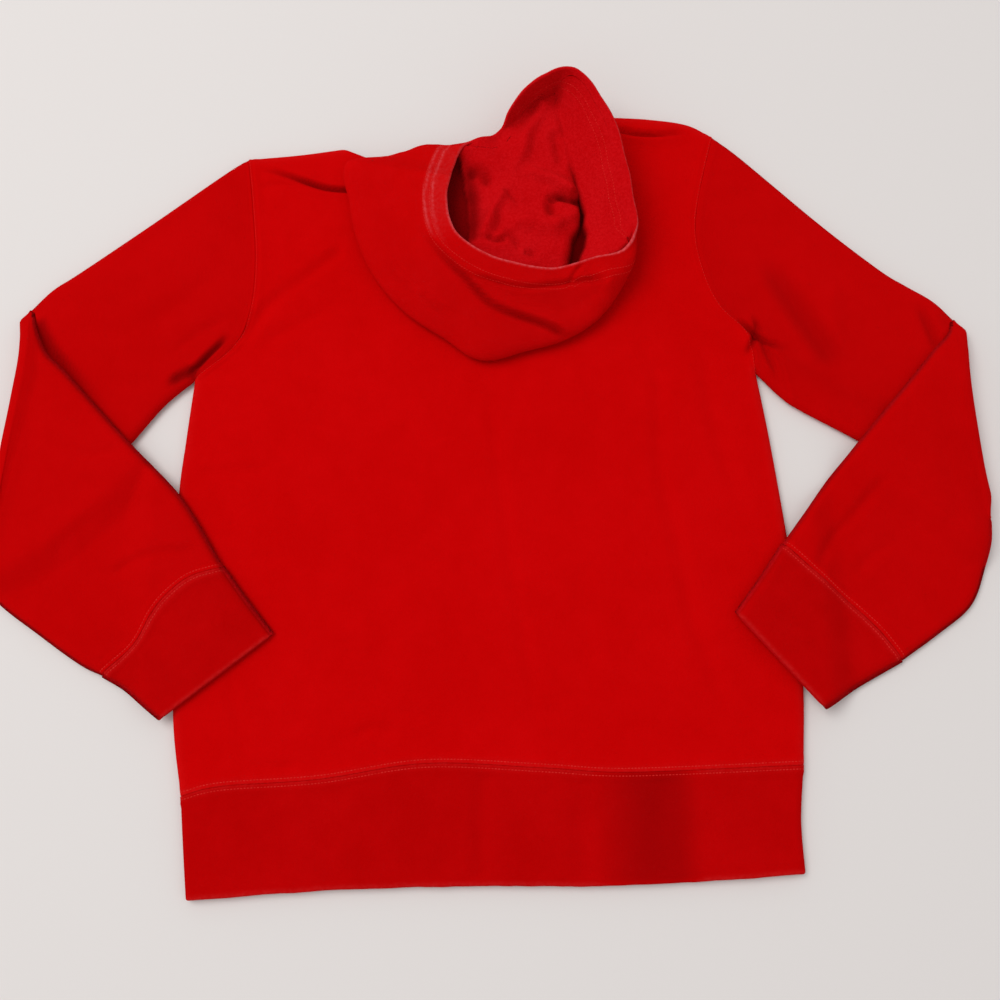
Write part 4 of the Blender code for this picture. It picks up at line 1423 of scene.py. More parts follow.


# Creases of the body's three pieces; a seventh number on a back crease is painted shade.
BACK_CREASES = (
    Crease(((-198, 553), (-188, 551.5), (-178, 549), (-168, 545.5), (-159, 542),
            (-150, 538.5), (-142, 535.8), (-133, 534), (-124, 533.2), (-114, 532.4),
            (-104, 531.5)),
           3.6, 3.4, 2.6, 1.6, (0.5, 0.0), 0.95),
    Crease(((-196, 536), (-170, 538), (-148, 533)), 0.9, 6.0, 0.3, 0.3),
    Crease(((84, 582), (97, 586), (112, 583), (127, 582), (145, 584), (160, 585)),
           3.6, 4.1, 1.4, 3.0, (0.0, 0.4), 0.55),
    Crease(((-201, 401), (-181, 434), (-151, 459), (-120, 485)),
           2.1, 10, 0.5, 0.4, (0.15, 0.1)),
    Crease(((-190, 396), (-160, 417), (-128, 434)), 0.9, 12, 0.3, 0.2),
    *LEFT_ARMPIT,
    *RIGHT_ARMPIT,
    Crease(((-6, 374), (-3, 336), (7, 253), (14, 203), (26, 135), (26, 97)),
           0.7, 10, 0.2, 0.3),
    Crease(((101, 412), (124, 379), (124, 305), (139, 228), (143, 193), (158, 149),
            (162, 110)),
           1.0, 12, 0.2, 0.5),
    Crease(((158, 412), (168, 336), (186, 268)), 1.0, 13, 0.2, 0.4),
    Crease(((-106, 102), (-90, 110), (-70, 104)), 1.3, 7, 0.3, 0.3),
    Crease(((-75, 123), (-61, 120), (-51, 116)), 0.9, 6, 0.2, 0.2),
    Crease(((-180, 86), (-161, 82), (-142, 84)), 1.2, 6, 0.2, 0.2),
    Crease(((-196, 154), (-191, 125), (-181, 106)), 1.1, 9, 0.2, 0.2),
    Crease(((-232, 300), (-206, 300), (-168, 303)), 0.9, 9, 0.2, 0.2),
    Crease(((-90, 250), (-84, 180), (-88, 120)), 0.5, 20, 0.2, 0.2),
    Crease(((60, 250), (66, 190), (62, 120)), 0.5, 18, 0.2, 0.2),
    Crease(((-214, 240), (-180, 232), (-150, 236)), 0.6, 10, 0.2, 0.2),
    Crease(((150, 480), (132, 500), (112, 508)), 0.8, 9, 0.2, 0.2),
)
BAND_CREASES = (
    Crease(((-10, 80), (-12, 45), (-11, 6)), 1.2, 12, 0.2, 0.5, (0.1, 0.05)),
    Crease(((120, 78), (118, 44), (119, 8)), 1.5, 20, 0.5, 0.2, (0.1, 0.05)),
    Crease(((64, 78), (62, 40), (65, 6)), 1.0, 18, 0.2, 0.4, (0.1, 0.05)),
    Crease(((-120, 70), (-122, 30), (-118, 2)), 0.6, 20, 0.2, 0.2, (0.1, 0.05)),
)
FRONT_CREASES = (
    Crease(((-60, 420), (-30, 300), (-45, 160)), -0.8, 20),
    Crease(((90, 400), (70, 260), (96, 150)), -0.8, 18),
)


@dataclass
class Body:
    """Front, back and hem band, pressed flat on each other.

    Its rows are closer together in the zone below the shoulders.
    """

    ground: GroundPlan
    step: float = 3.1
    band_step: float = 3.4
    shoulder_zone: Triple = (50.0, 13.6, 1.35)
    relief: Relief = Relief(BACK_CREASES)
    # A stretch of the hem band, by its x, that is made darker, and how much.
    darker_patch: Span = Span(62.0, 148.0, 44.0, 22.0)
    darkening: float = 0.6
    hem_waves: Waves = ((0.5, 24.0, 3.3), (0.3, 9.0, 8.8))
    seam_rub: Rub = (0.12, 7.0)
    side_rub: Rub = (0.1, 9.0)
    hem_rub: Rub = (0.3, 5.0)
    band_seam_rub: Rub = (0.12, 6.0)
    band_relief: Relief = Relief(BAND_CREASES, ripple=0.4, seed=14.0)
    front_relief: Relief = Relief(FRONT_CREASES, ripple=0.3, seed=21.0)

    def columns(self) -> Points:
        """Shares of the width, closer at the sides, with the two neck points among them.

        Returns:
            The shares, from the left.
        """
        width = Curve(HEM_SEAM).length
        low, high = SHOULDER_SHARES
        left = ladder(low * width, self.step, end=False) * low
        middle = low + ladder((high - low) * width, self.step, False, False) * (high - low)
        right = 1 - ladder((1 - high) * width, self.step, end=False)[::-1] * (1 - high)
        return np.concatenate([left[:-1], middle, right[1:]])

    def armhole_shares(self) -> Points:
        """Shares of an armhole's length at which the body's rows and the sleeve's columns meet.

        Returns:
            The shares.
        """
        length = Curve(LEFT_ARMHOLE).length
        start, end, step = self.shoulder_zone
        return ladder(length, self.step, False, True, (length - start, length - end, step))

    def panel(self, neck: PlanLine) -> tuple[Points, int]:
        """Plan of the front or back, from the hem band's seam up to the neck.

        Args:
            neck: The neckline.

        Returns:
            Its plan points, and the row at which the armholes start.
        """
        columns = self.columns()
        side_length = BACK_LENGTH * ARMHOLE_SHARE
        side_rows = ladder(side_length, self.step, True, False)[:-1]
        armhole_rows = self.armhole_shares()
        upper_rows = ARMHOLE_SHARE + armhole_rows * (1 - ARMHOLE_SHARE)
        rows = np.concatenate([side_rows * ARMHOLE_SHARE, upper_rows])
        rows[0] = SEAM_GAP / 2 / BACK_LENGTH
        edges = []
        sides = ((LEFT_SIDE, LEFT_ARMHOLE, -1.0), (RIGHT_SIDE, RIGHT_ARMHOLE, 1.0))
        for side, armhole, outward in sides:
            round_armhole = parted(armhole, armhole_rows, outward, (1.0,))
            edges.append(np.concatenate([Curve(side).at(side_rows), round_armhole]))
        bottom = Curve(HEM_SEAM).at(columns)
        plan = stretch(bottom, self.top_edge(neck, columns), *edges, columns, rows)
        return plan, len(side_rows)

    @staticmethod
    def top_edge(neck: PlanLine, columns: Points) -> Points:
        """Points of the shoulders and the neckline.

        Args:
            neck: The neckline.
            columns: Shares of the width.

        Returns:
            One point for each column.
        """
        low, high = SHOULDER_SHARES
        points = Curve(neck).at((columns - low) / (high - low))
        left = Curve(LEFT_SHOULDER).at(columns / low)
        right = Curve(RIGHT_SHOULDER).at((columns - high) / (1 - high))
        points = np.where((columns <= low)[:, None], left, points)
        return np.where((columns >= high)[:, None], right, points)

    def panel_wall(self, neck: PlanLine, side: int, relief: Relief) -> tuple[Wall, list[StitchRow]]:
        """One panel with its seams and creases.

        Args:
            neck: The neckline.
            side: 1 for the back, which faces up, -1 for the front.
            relief: Its creases.

        Returns:
            The panel, and the stitch rows on it.
        """
        plan, start = self.panel(neck)
        sheets = pressed_layer(plan, self.ground.folds, side, CLOTH_WALL, SEAM_GAP)
        wall = Wall(*sheets, straight_grain=True)
        reach, _ = self.ground.folds.nearest(plan)
        calm = off_folds(self.ground.folds, plan)
        rise = np.maximum(relief.rise(plan) * calm, -DEEPEST)
        # Painted shade along the deeper creases, taken off the wear below nought.
        painted_shade = relief.painted_shade(plan) * calm
        if side < 0:
            rise = np.maximum(rise, 0.0)
        wall.lift(rise)
        hem = wall.run(0, False)
        seams = [(hem, HEM_SEED)]
        armholes = np.zeros(plan.shape[0])
        armholes[start:] = 1.0
        for from_end in (False, True):
            distance = wall.run(1, from_end) + OUT_OF_REACH * (1 - armholes[:, None])
            seams.append((distance, ARMHOLE_SEED + from_end))
        for distance, seed in seams:
            bulge = seam_bulge(distance, plan, seed) * smooth_step(reach / 3 + 0.35)
            wall.swell(np.minimum(bulge, 0.0) if side < 0 else bulge)
        wall.wear = rubbed(hem, self.seam_rub) + rubbed(reach, self.side_rub) - painted_shade
        rows = [StitchRow(*wall.beside(0, False, STITCH_OFFSET))]
        for from_end in (False, True):
            points, out = wall.beside(1, from_end, ARMHOLE_OFFSET)
            points, out = points[start:], out[start:]
            rows.append(StitchRow(points, out, pitch=2.6, length=1.3, width=0.5, height=0.4))
        wall.round_edge(0, False, *PANEL_ROUND)
        wall.round_edge(0, True, NECK_RADIUS)
        return wall, rows

    def band_wall(self) -> tuple[Wall, list[StitchRow]]:
        """The hem band, folded at its lower edge.

        Returns:
            The band, and the stitch row on it.
        """
        columns = self.columns()
        length = Curve(LEFT_HEM_SIDE).length
        rows = ladder(length, self.band_step)
        rows[-1] = 1 - SEAM_GAP / 2 / length
        bottom, top = Curve(HEM_EDGE).at(columns), Curve(HEM_SEAM).at(columns)
        bottom = bottom + self.hem_wobble(bottom)
        left, right = Curve(LEFT_HEM_SIDE).at(rows), Curve(RIGHT_HEM_SIDE).at(rows)
        plan = stretch(bottom, top, left, right, columns, rows)
        wall = Wall(*pressed_tube(plan, self.ground.folds, BAND_WALL), ring=True)
        wall.lift(on_first(self.band_relief.rise(plan) * off_folds(self.ground.folds, plan)))
        seam = wall.run(0, True)
        above = in_first(wall, columns)
        swell_shown(wall, seam_bulge(seam, wall.outer[..., :2], HEM_SEED), above)
        wall.wear = rubbed(wall.run(0, False), self.hem_rub) + rubbed(seam, self.band_seam_rub)
        # A patch on the band's upper layer is made darker.
        wall.wear -= self.darkening * self.darker_patch.share(wall.outer[..., 0]) * above
        stitches = [StitchRow(*wall.beside(0, True, STITCH_OFFSET), closed=True)]
        wall.round_edge(0, False, BAND_FOLD_RADIUS)
        wall.round_edge(0, True, *BAND_ROUND)
        return wall, stitches

    def hem_wobble(self, points: Points) -> Points:
        """Slight waver of the hem's edge."""
        shift = waver(points, self.hem_waves)
        return np.stack([np.zeros_like(shift), shift], axis=-1)

    def build(self, dresser: Dresser) -> None:
        """Make the three pieces.

        Args:
            dresser: Hands them over.
        """
        wall, rows = self.panel_wall(FRONT_NECK, -1, self.front_relief)
        dresser.sew("front", wall, Finish.FLEECE, rows)
        wall, rows = self.panel_wall(BACK_NECK, 1, self.relief)
        dresser.sew("back", wall, Finish.FLEECE, rows)
        wall, rows = self.band_wall()
        dresser.sew("hem_band", wall, Finish.BAND, rows)


@dataclass
class Sleeve:
    """A sleeve as one folded tube, and its cuff.

    Its rows are closer together in the armpit's zone. Past the elbow it comes down to rest within
    the settling length, and it is rolled less and pressed flatter at the fold's two corners.
    """

    shape: SleeveShape
    ground: GroundPlan
    shares: Points
    step: float = 3.1
    cuff_step: float = 3.2
    armpit_zone: Triple = (13.6, 48.0, 1.9)
    crease_radius: float = 1.0
    turn_steps: int = 9
    settle: float = 35.0
    corner_rolls: Pair = (0.25, 0.3)
    corner_reaches: Pair = (12.0, 22.0)
    press_reach: float = 34.0
    press: float = 0.95
    # How much darker the whole sleeve is made than the body.
    darkening: float = 0.16
    calm_share: float = 0.12
    lift_reach: float = 34.0
    armhole_rub: Rub = (0.1, 5.0)
    cuff_rub: Rub = (0.2, 7.0)
    end_rub: Rub = (0.3, 4.0)

    def upper_plan(self) -> Points:
        """Plan of the upper sleeve, from the armhole to the fold.

        Returns:
            Rows of plan points.
        """
        shape = self.shape
        length = Curve(shape.upper_underarm).length
        rows = ladder(length, self.step, True, False, self.armpit_zone)
        rows[0] = SEAM_GAP / 2 / length
        start = parted(shape.armhole[::-1], self.shares, shape.outward, (0.0, 1.0))
        end = Curve(shape.fold).at(self.shares)
        top, under = Curve(shape.upper_top).at(rows), Curve(shape.upper_underarm).at(rows)
        return stretch(start, end, top, under, self.shares, rows)

    def turned(self, sheet: Points) -> Points:
        """Rings that carry the last ring of a sheet over the elbow fold.

        Args:
            sheet: The sheet.

        Returns:
            The rings.
        """
        axis = LOFT + self.crease_radius
        last = sheet[-1]
        radius = axis - last[:, 2]
        rolled = np.ones(len(last))
        corners = (self.shape.fold[0], self.shape.fold[-1])
        for corner, roll, corner_reach in zip(corners, self.corner_rolls, self.corner_reaches):
            gap = np.linalg.norm(last[:, :2] - np.array(corner), axis=-1)
            rolled = np.minimum(rolled, roll + (1 - roll) * smooth_step(gap / corner_reach))
        rings = []
        for turn in np.radians(np.linspace(0.0, 180.0, self.turn_steps + 1))[1:]:
            ring = last.copy()
            ring[:, 0] += self.shape.outward * radius * math.sin(turn) * rolled
            ring[:, 2] = axis - radius * math.cos(turn)
            rings.append(ring)
        return np.array(rings)

    def lower_folds(self) -> Folds:
        """Folded edges of the forearm and the cuff.

        Returns:
            The two edges.
        """
        shape = self.shape
        top_line = chain(shape.forearm_top, shape.cuff_top)
        under_line = chain(shape.forearm_under, shape.cuff_under)
        if shape.outward > 0:
            return Folds(top_line[::-1], under_line)
        return Folds(top_line, under_line[::-1])

    def press_corner(self, wall: Wall) -> None:
        """Press the forearm flat onto the upper sleeve at the top corner of the fold.

        Args:
            wall: The sleeve.
        """
        corner = np.array(self.shape.fold[0])
        for sheet in (wall.outer, wall.inner):
            gap = np.linalg.norm(sheet[..., :2] - corner, axis=-1)
            kept = 1 - self.press * smooth_step(1 - gap / self.press_reach)
            level = LOFT * (1 - 0.5 * smooth_step(1 - gap / (0.5 * self.press_reach)))
            above = np.maximum(sheet[..., 2] - level, 0.0)
            sheet[..., 2] += above * (kept - 1)

    def build(self, dresser: Dresser) -> None:
        """Make the sleeve and the cuff."""
        self.build_sleeve(dresser)
        self.build_cuff(dresser)

    def build_sleeve(self, dresser: Dresser) -> None:
        """Make the sleeve.

        Args:
            dresser: Hands it over.
        """
        shape, folds = self.shape, self.lower_folds()
        upper = self.upper_plan()
        rings = Wall(*pressed_tube(upper, self.ground.folds, CLOTH_WALL), ring=True)
        rise = shape.upper_relief.rise(upper) * off_folds(self.ground.folds, upper)
        rise *= smooth_step((1 - np.linspace(0, 1, len(upper))) / self.calm_share)[:, None]
        rings.lift(on_first(np.maximum(rise, -DEEPEST)))
        bulge = 0.5 * seam_bulge(rings.run(0, False), rings.outer[..., :2], ARMHOLE_SEED)
        swell_shown(rings, bulge, in_first(rings, self.shares))
        length = Curve(shape.forearm_top).length
        rows = ladder(length, self.step, False, True)[1:]
        rows[-1] = 1 - SEAM_GAP / 2 / length
        fold, end = Curve(shape.fold).at(self.shares), Curve(shape.cuff_seam).at(self.shares)
        sides = (Curve(shape.forearm_top).at(rows), Curve(shape.forearm_under).at(rows))
        plan = stretch(fold, end, *sides, self.shares, rows)
        settled = smooth_step(rows * length / self.settle)[:, None]
        raised = LOFT + 2 * self.crease_radius
        base = raised * (1 - settled) + self.ground.rest_height(plan) * settled
        forearm = Wall(*pressed_tube(plan, folds, CLOTH_WALL, False), ring=True)
        forearm.lift(round_trip(base))
        rise = shape.forearm_relief.rise(plan) * off_folds(folds, plan) * settled
        forearm.lift(on_second(rise))
        bulge = seam_bulge(forearm.run(0, True), forearm.outer[..., :2], CUFF_SEED)
        swell_shown(forearm, bulge, ~in_first(forearm, self.shares))
        outer, inner = (
            np.concatenate([first, self.turned(first), second])
            for first, second in ((rings.outer, forearm.outer), (rings.inner, forearm.inner))
        )
        wall = Wall(outer, inner, ring=True)
        wall.wear = rubbed(wall.run(0, True), self.cuff_rub)
        wall.wear += rubbed(wall.run(0, False), self.armhole_rub)
        # The whole sleeve is made a little darker than the body.
        wall.wear -= self.darkening
        # Painted shade along the upper sleeve's deeper creases.
        wall.wear[: len(upper)] -= on_first(shape.upper_relief.painted_shade(upper))
        stitches = [StitchRow(*wall.beside(0, True, STITCH_OFFSET), closed=True)]
        self.press_corner(wall)
        wall.round_edge(0, False, *SLEEVE_ROUND)
        wall.round_edge(0, True, *PANEL_ROUND)
        dresser.sew("sleeve_" + shape.name, wall, Finish.FLEECE, stitches)

    def build_cuff(self, dresser: Dresser) -> None:
        """Make the cuff.

        Args:
            dresser: Hands it over.
        """
        shape, folds = self.shape, self.lower_folds()
        length = Curve(shape.cuff_top).length
        rows = ladder(length, self.cuff_step)
        rows[0] = SEAM_GAP / 2 / length
        opening = (shape.cuff_top[-1], shape.cuff_under[-1])
        seam, end = (Curve(line).at(self.shares) for line in (shape.cuff_seam, opening))
        sides = (Curve(shape.cuff_top).at(rows), Curve(shape.cuff_under).at(rows))
        plan = stretch(seam, end, *sides, self.shares, rows)
        wall = Wall(*pressed_tube(plan, folds, BAND_WALL, False), ring=True)
        base = round_trip(self.ground.rest_height(plan))
        wall.lift(base)
        ripples = Relief(ripple=0.5, ripple_size=30.0, seed=31.0).rise(plan)
        wall.lift(on_second(ripples * off_folds(folds, plan)))
        from_seam = wall.run(0, False)
        bulge = seam_bulge(from_seam, wall.outer[..., :2], CUFF_SEED)
        swell_shown(wall, bulge, ~in_first(wall, self.shares))
        to_end = wall.run(0, True)
        wall.wear = rubbed(from_seam, self.cuff_rub) + rubbed(to_end, self.end_rub)
        towards_end = fading(to_end, self.lift_reach)
        if shape.cuff_lift > 0:
            wall.lift(shape.cuff_lift * towards_end)
        else:
            for sheet in (wall.outer, wall.inner):
                sheet[..., 2] += shape.cuff_lift * towards_end * (sheet[..., 2] - base) / LOFT
        stitches = [StitchRow(*wall.beside(0, False, STITCH_OFFSET), closed=True)]
        wall.round_edge(0, False, *BAND_ROUND)
        wall.round_edge(0, True, BAND_FOLD_RADIUS)
        dresser.sew("cuff_" + shape.name, wall, Finish.BAND, stitches)


@dataclass(frozen=True)
class HoodSection:
    """The hood cut along one direction from its centre: radius and height of four stations."""

    angle: float
    foot_r: float
    out_r: float
    out_z: float
    mid_r: float
    mid_z: float
    rim_r: float
    rim_z: float


HOOD_CENTRE = (35.0, 520.0)
HOOD_SECTIONS = tuple(HoodSection(*row) for row in (
    (0, 36, 54, 18, 64, 31, 69, 43),
    (20, 38, 55, 18, 65, 32, 68, 46),
    (40, 48, 64, 20, 72, 36, 75, 49),
    (56, 57, 74, 18, 80, 38, 83, 52),
    (72, 69, 86, 16, 93, 38, 95, 55),
    (80, 70, 87, 15, 94, 37, 96, 54),
    (88, 66, 83, 14, 89, 35, 91, 51),
    (100, 56, 72, 13, 80, 29, 83, 44),
    (112, 48, 62, 11, 70, 21, 74, 33),
    (119, 45, 57, 9, 65, 14, 69, 22),
    (127, 44, 56, 8, 63, 11, 68, 15),
    (138, 54, 66, 9, 72, 14, 74, 18),
    (150, 94, 102, 12, 90, 18, 76, 22),
    (158, 111, 118, 13, 99, 20, 74.5, 24),
    (163, 127, 133, 13, 106, 21, 74, 26),
    (168, 153, 160, 14, 114, 23, 73.5, 28),
    (180, 147, 153, 14, 112, 24, 74.5, 30),
    (205, 141, 147, 14, 110, 24, 75, 31),
    (222, 136, 142, 14, 104, 24, 70, 32),
    (236, 132, 138, 14, 100, 24, 66.5, 33),
    (250, 135, 141, 14, 98, 24, 64, 34),
    (264, 120, 126, 14, 96, 24, 64, 34),
    (278, 111, 118, 15, 94, 25, 65.5, 34),
    (292, 100, 110, 17, 93, 28, 66, 35),
    (306, 86, 100, 20, 89, 32, 69, 35),
    (320, 65, 90, 22, 91, 31, 80, 37),
    (336, 47, 71, 19, 79, 30, 80.5, 38),
    (350, 38, 58, 18, 69, 31, 72, 41),
))


@dataclass(frozen=True)
class Bunch:
    """Cloth heaped in the hood's opening, with a rounded steep edge.

    It is low_top high at its lower end and high_top at its upper one. Banked cloth rises on from
    there to the rim.
    """

    edge: PlanLine
    low_top: float
    high_top: float
    shoulder: float
    slope: Pair = (535.0, 580.0)
    banked: bool = False

    def height(self, plan: Points, base: Points, rim: Points) -> Points:
        """Height of the visible cloth.

        Args:
            plan: Plan points.
            base: Height of the cloth round the bunch.
            rim: The hood's rim, one point for each column.

        Returns:
            Height at each point, the base's outside the bunch.
        """
        inside = depth_inside(np.array(self.edge, dtype=float), plan)
        inside = inside + 0.9 * wander(plan, 11.0, 4.4)
        share = np.clip(inside / self.shoulder, 0.0, 1.0)
        start, end = self.slope
        climbed = smooth_step((plan[..., 1] - start) / (end - start))
        top = self.low_top + (self.high_top - self.low_top) * climbed
        if self.banked:
            to_rim = np.linalg.norm(rim[..., :2] - plan, axis=-1)
            climb = inside / np.maximum(inside + to_rim, 1e-6)
            top = top + np.maximum(rim[..., 2] - 1.0 - top, 0.0) * np.clip(climb, 0.0, 1.0)
        return base + np.maximum(top - base, 0.0) * np.sqrt(1 - (1 - share) ** 2)


# Cloth heaped in the hood's opening, the creases in it, and those outside on the hood's side, some
# with painted shade.
BUNCHES = (
    Bunch(((-49, 576), (-37, 563), (-30, 554), (-27.5, 536), (-24.5, 519), (-23.5, 497),
           (-24, 480), (-16, 462), (17, 448), (41, 444), (52, 448), (57, 462), (58.5, 476),
           (60.5, 487), (66, 499), (67, 508), (65, 522), (62.5, 540), (59.5, 557), (56, 577),
           (53, 595), (54, 606), (53, 614), (47, 618), (40, 617), (34, 611), (26, 603),
           (16, 598), (0, 592), (-20, 586)), 19.5, 26.0, 8.5),
    Bunch(((46, 630), (45, 612), (45.5, 595), (48.5, 577), (54, 557), (60, 541), (65, 522),
           (67.5, 508), (67, 499), (69.5, 491), (68, 481), (65, 473), (62, 464), (66, 454),
           (80, 448), (100, 446), (135, 470), (140, 540), (125, 600), (90, 640)),
          17.5, 20.0, 3.5, banked=True),
)
HEAP_CREASES = (
    Crease(((-30, 562), (-24, 545), (-21, 525), (-19, 500), (-20, 480)),
           5.5, 13, tapers=(0.15, 0.15)),
    Crease(((10, 536), (1, 519), (-6, 504), (-15, 486)), -4.2, 8, tapers=(0.3, 0.1)),
    Crease(((-24, 543), (-15, 544), (-9, 537), (-12, 526)), 4.2, 9, 0.2, 0.2, (0.1, 0.3)),
    Crease(((-1, 516), (2, 501), (-5, 486)), 3.0, 5.5, 0.3, 0.5),
    Crease(((5, 530), (13, 520), (20, 511)), 2.4, 3.5, 0.8, 0.3, (0.2, 0.4)),
    Crease(((16, 547), (32, 541), (48, 535), (62, 526)), -5.0, 9, tapers=(0.35, 0.05)),
    Crease(((36, 523), (48, 522), (60, 519), (70, 518)), 6.5, 7, 0.8, 1.2, (0.4, 0.0)),
    Crease(((45, 522), (42, 514), (44, 503)), 4.5, 8, 0.3, 0.3),
    Crease(((42, 492), (54, 503), (66, 508)), -4.0, 9, tapers=(0.3, 0.05)),
    Crease(((6, 499), (30, 501), (58, 492)), -3.4, 13),
    Crease(((-10, 488), (0, 485), (10, 487)), 4.0, 4.5, 0.9, 0.9),
    Crease(((4, 494), (13, 485), (19, 475)), 2.8, 4.5, 0.7, 0.7),
    Crease(((20, 475), (25, 473), (32, 470)), 3.0, 4.5, 0.3, 0.3),
    Crease(((38, 604), (32, 589), (23, 573), (19, 555), (6, 540)), -4.4, 10, tapers=(0.1, 0.3)),
    Crease(((33, 604), (26, 592), (13, 581), (1, 570), (-4, 553)),
           5.0, 15, 0.2, 0.2, (0.12, 0.3)),
    Crease(((46, 578), (49, 562), (53, 546)), 3.6, 9, 0.5, 0.3),
    Crease(((48, 614), (48, 604), (47, 593)), 3.2, 4.5, 0.3, 0.3, (0.1, 0.4)),
)
SIDE_CREASES = (
    Crease(((-62, 496), (-55, 485), (-41, 467), (-21, 446), (-8, 432), (4, 425), (17, 420),
            (40, 412), (58, 401)),
           4.4, 4.3, 2.6, 0.3, (0.4, 0.1), 0.5),
    Crease(((-37, 459), (-21, 452), (-8, 448), (8, 443), (27, 441), (48, 443), (63, 445),
            (91, 448)),
           2.6, 3.6, 1.2, 0.9, (0.3, 0.12), 0.2),
    Crease(((52, 443), (57, 447), (61, 453), (68, 459)), 1.8, 3.2, 0.5, 0.5, (0.3, 0.3)),
    Crease(((-60, 442), (-56, 437), (-46, 428), (-34, 419)), 2.0, 4.5, 0.6, 0.5, (0.3, 0.3)),
    Crease(((-4, 451), (8, 437), (19, 432)), 0.8, 3.6, 0.3, 0.3, (0.3, 0.3)),
    Crease(((-88, 470), (-74, 452), (-58, 440)), 1.2, 7, 0.3, 0.3, (0.3, 0.3)),
)


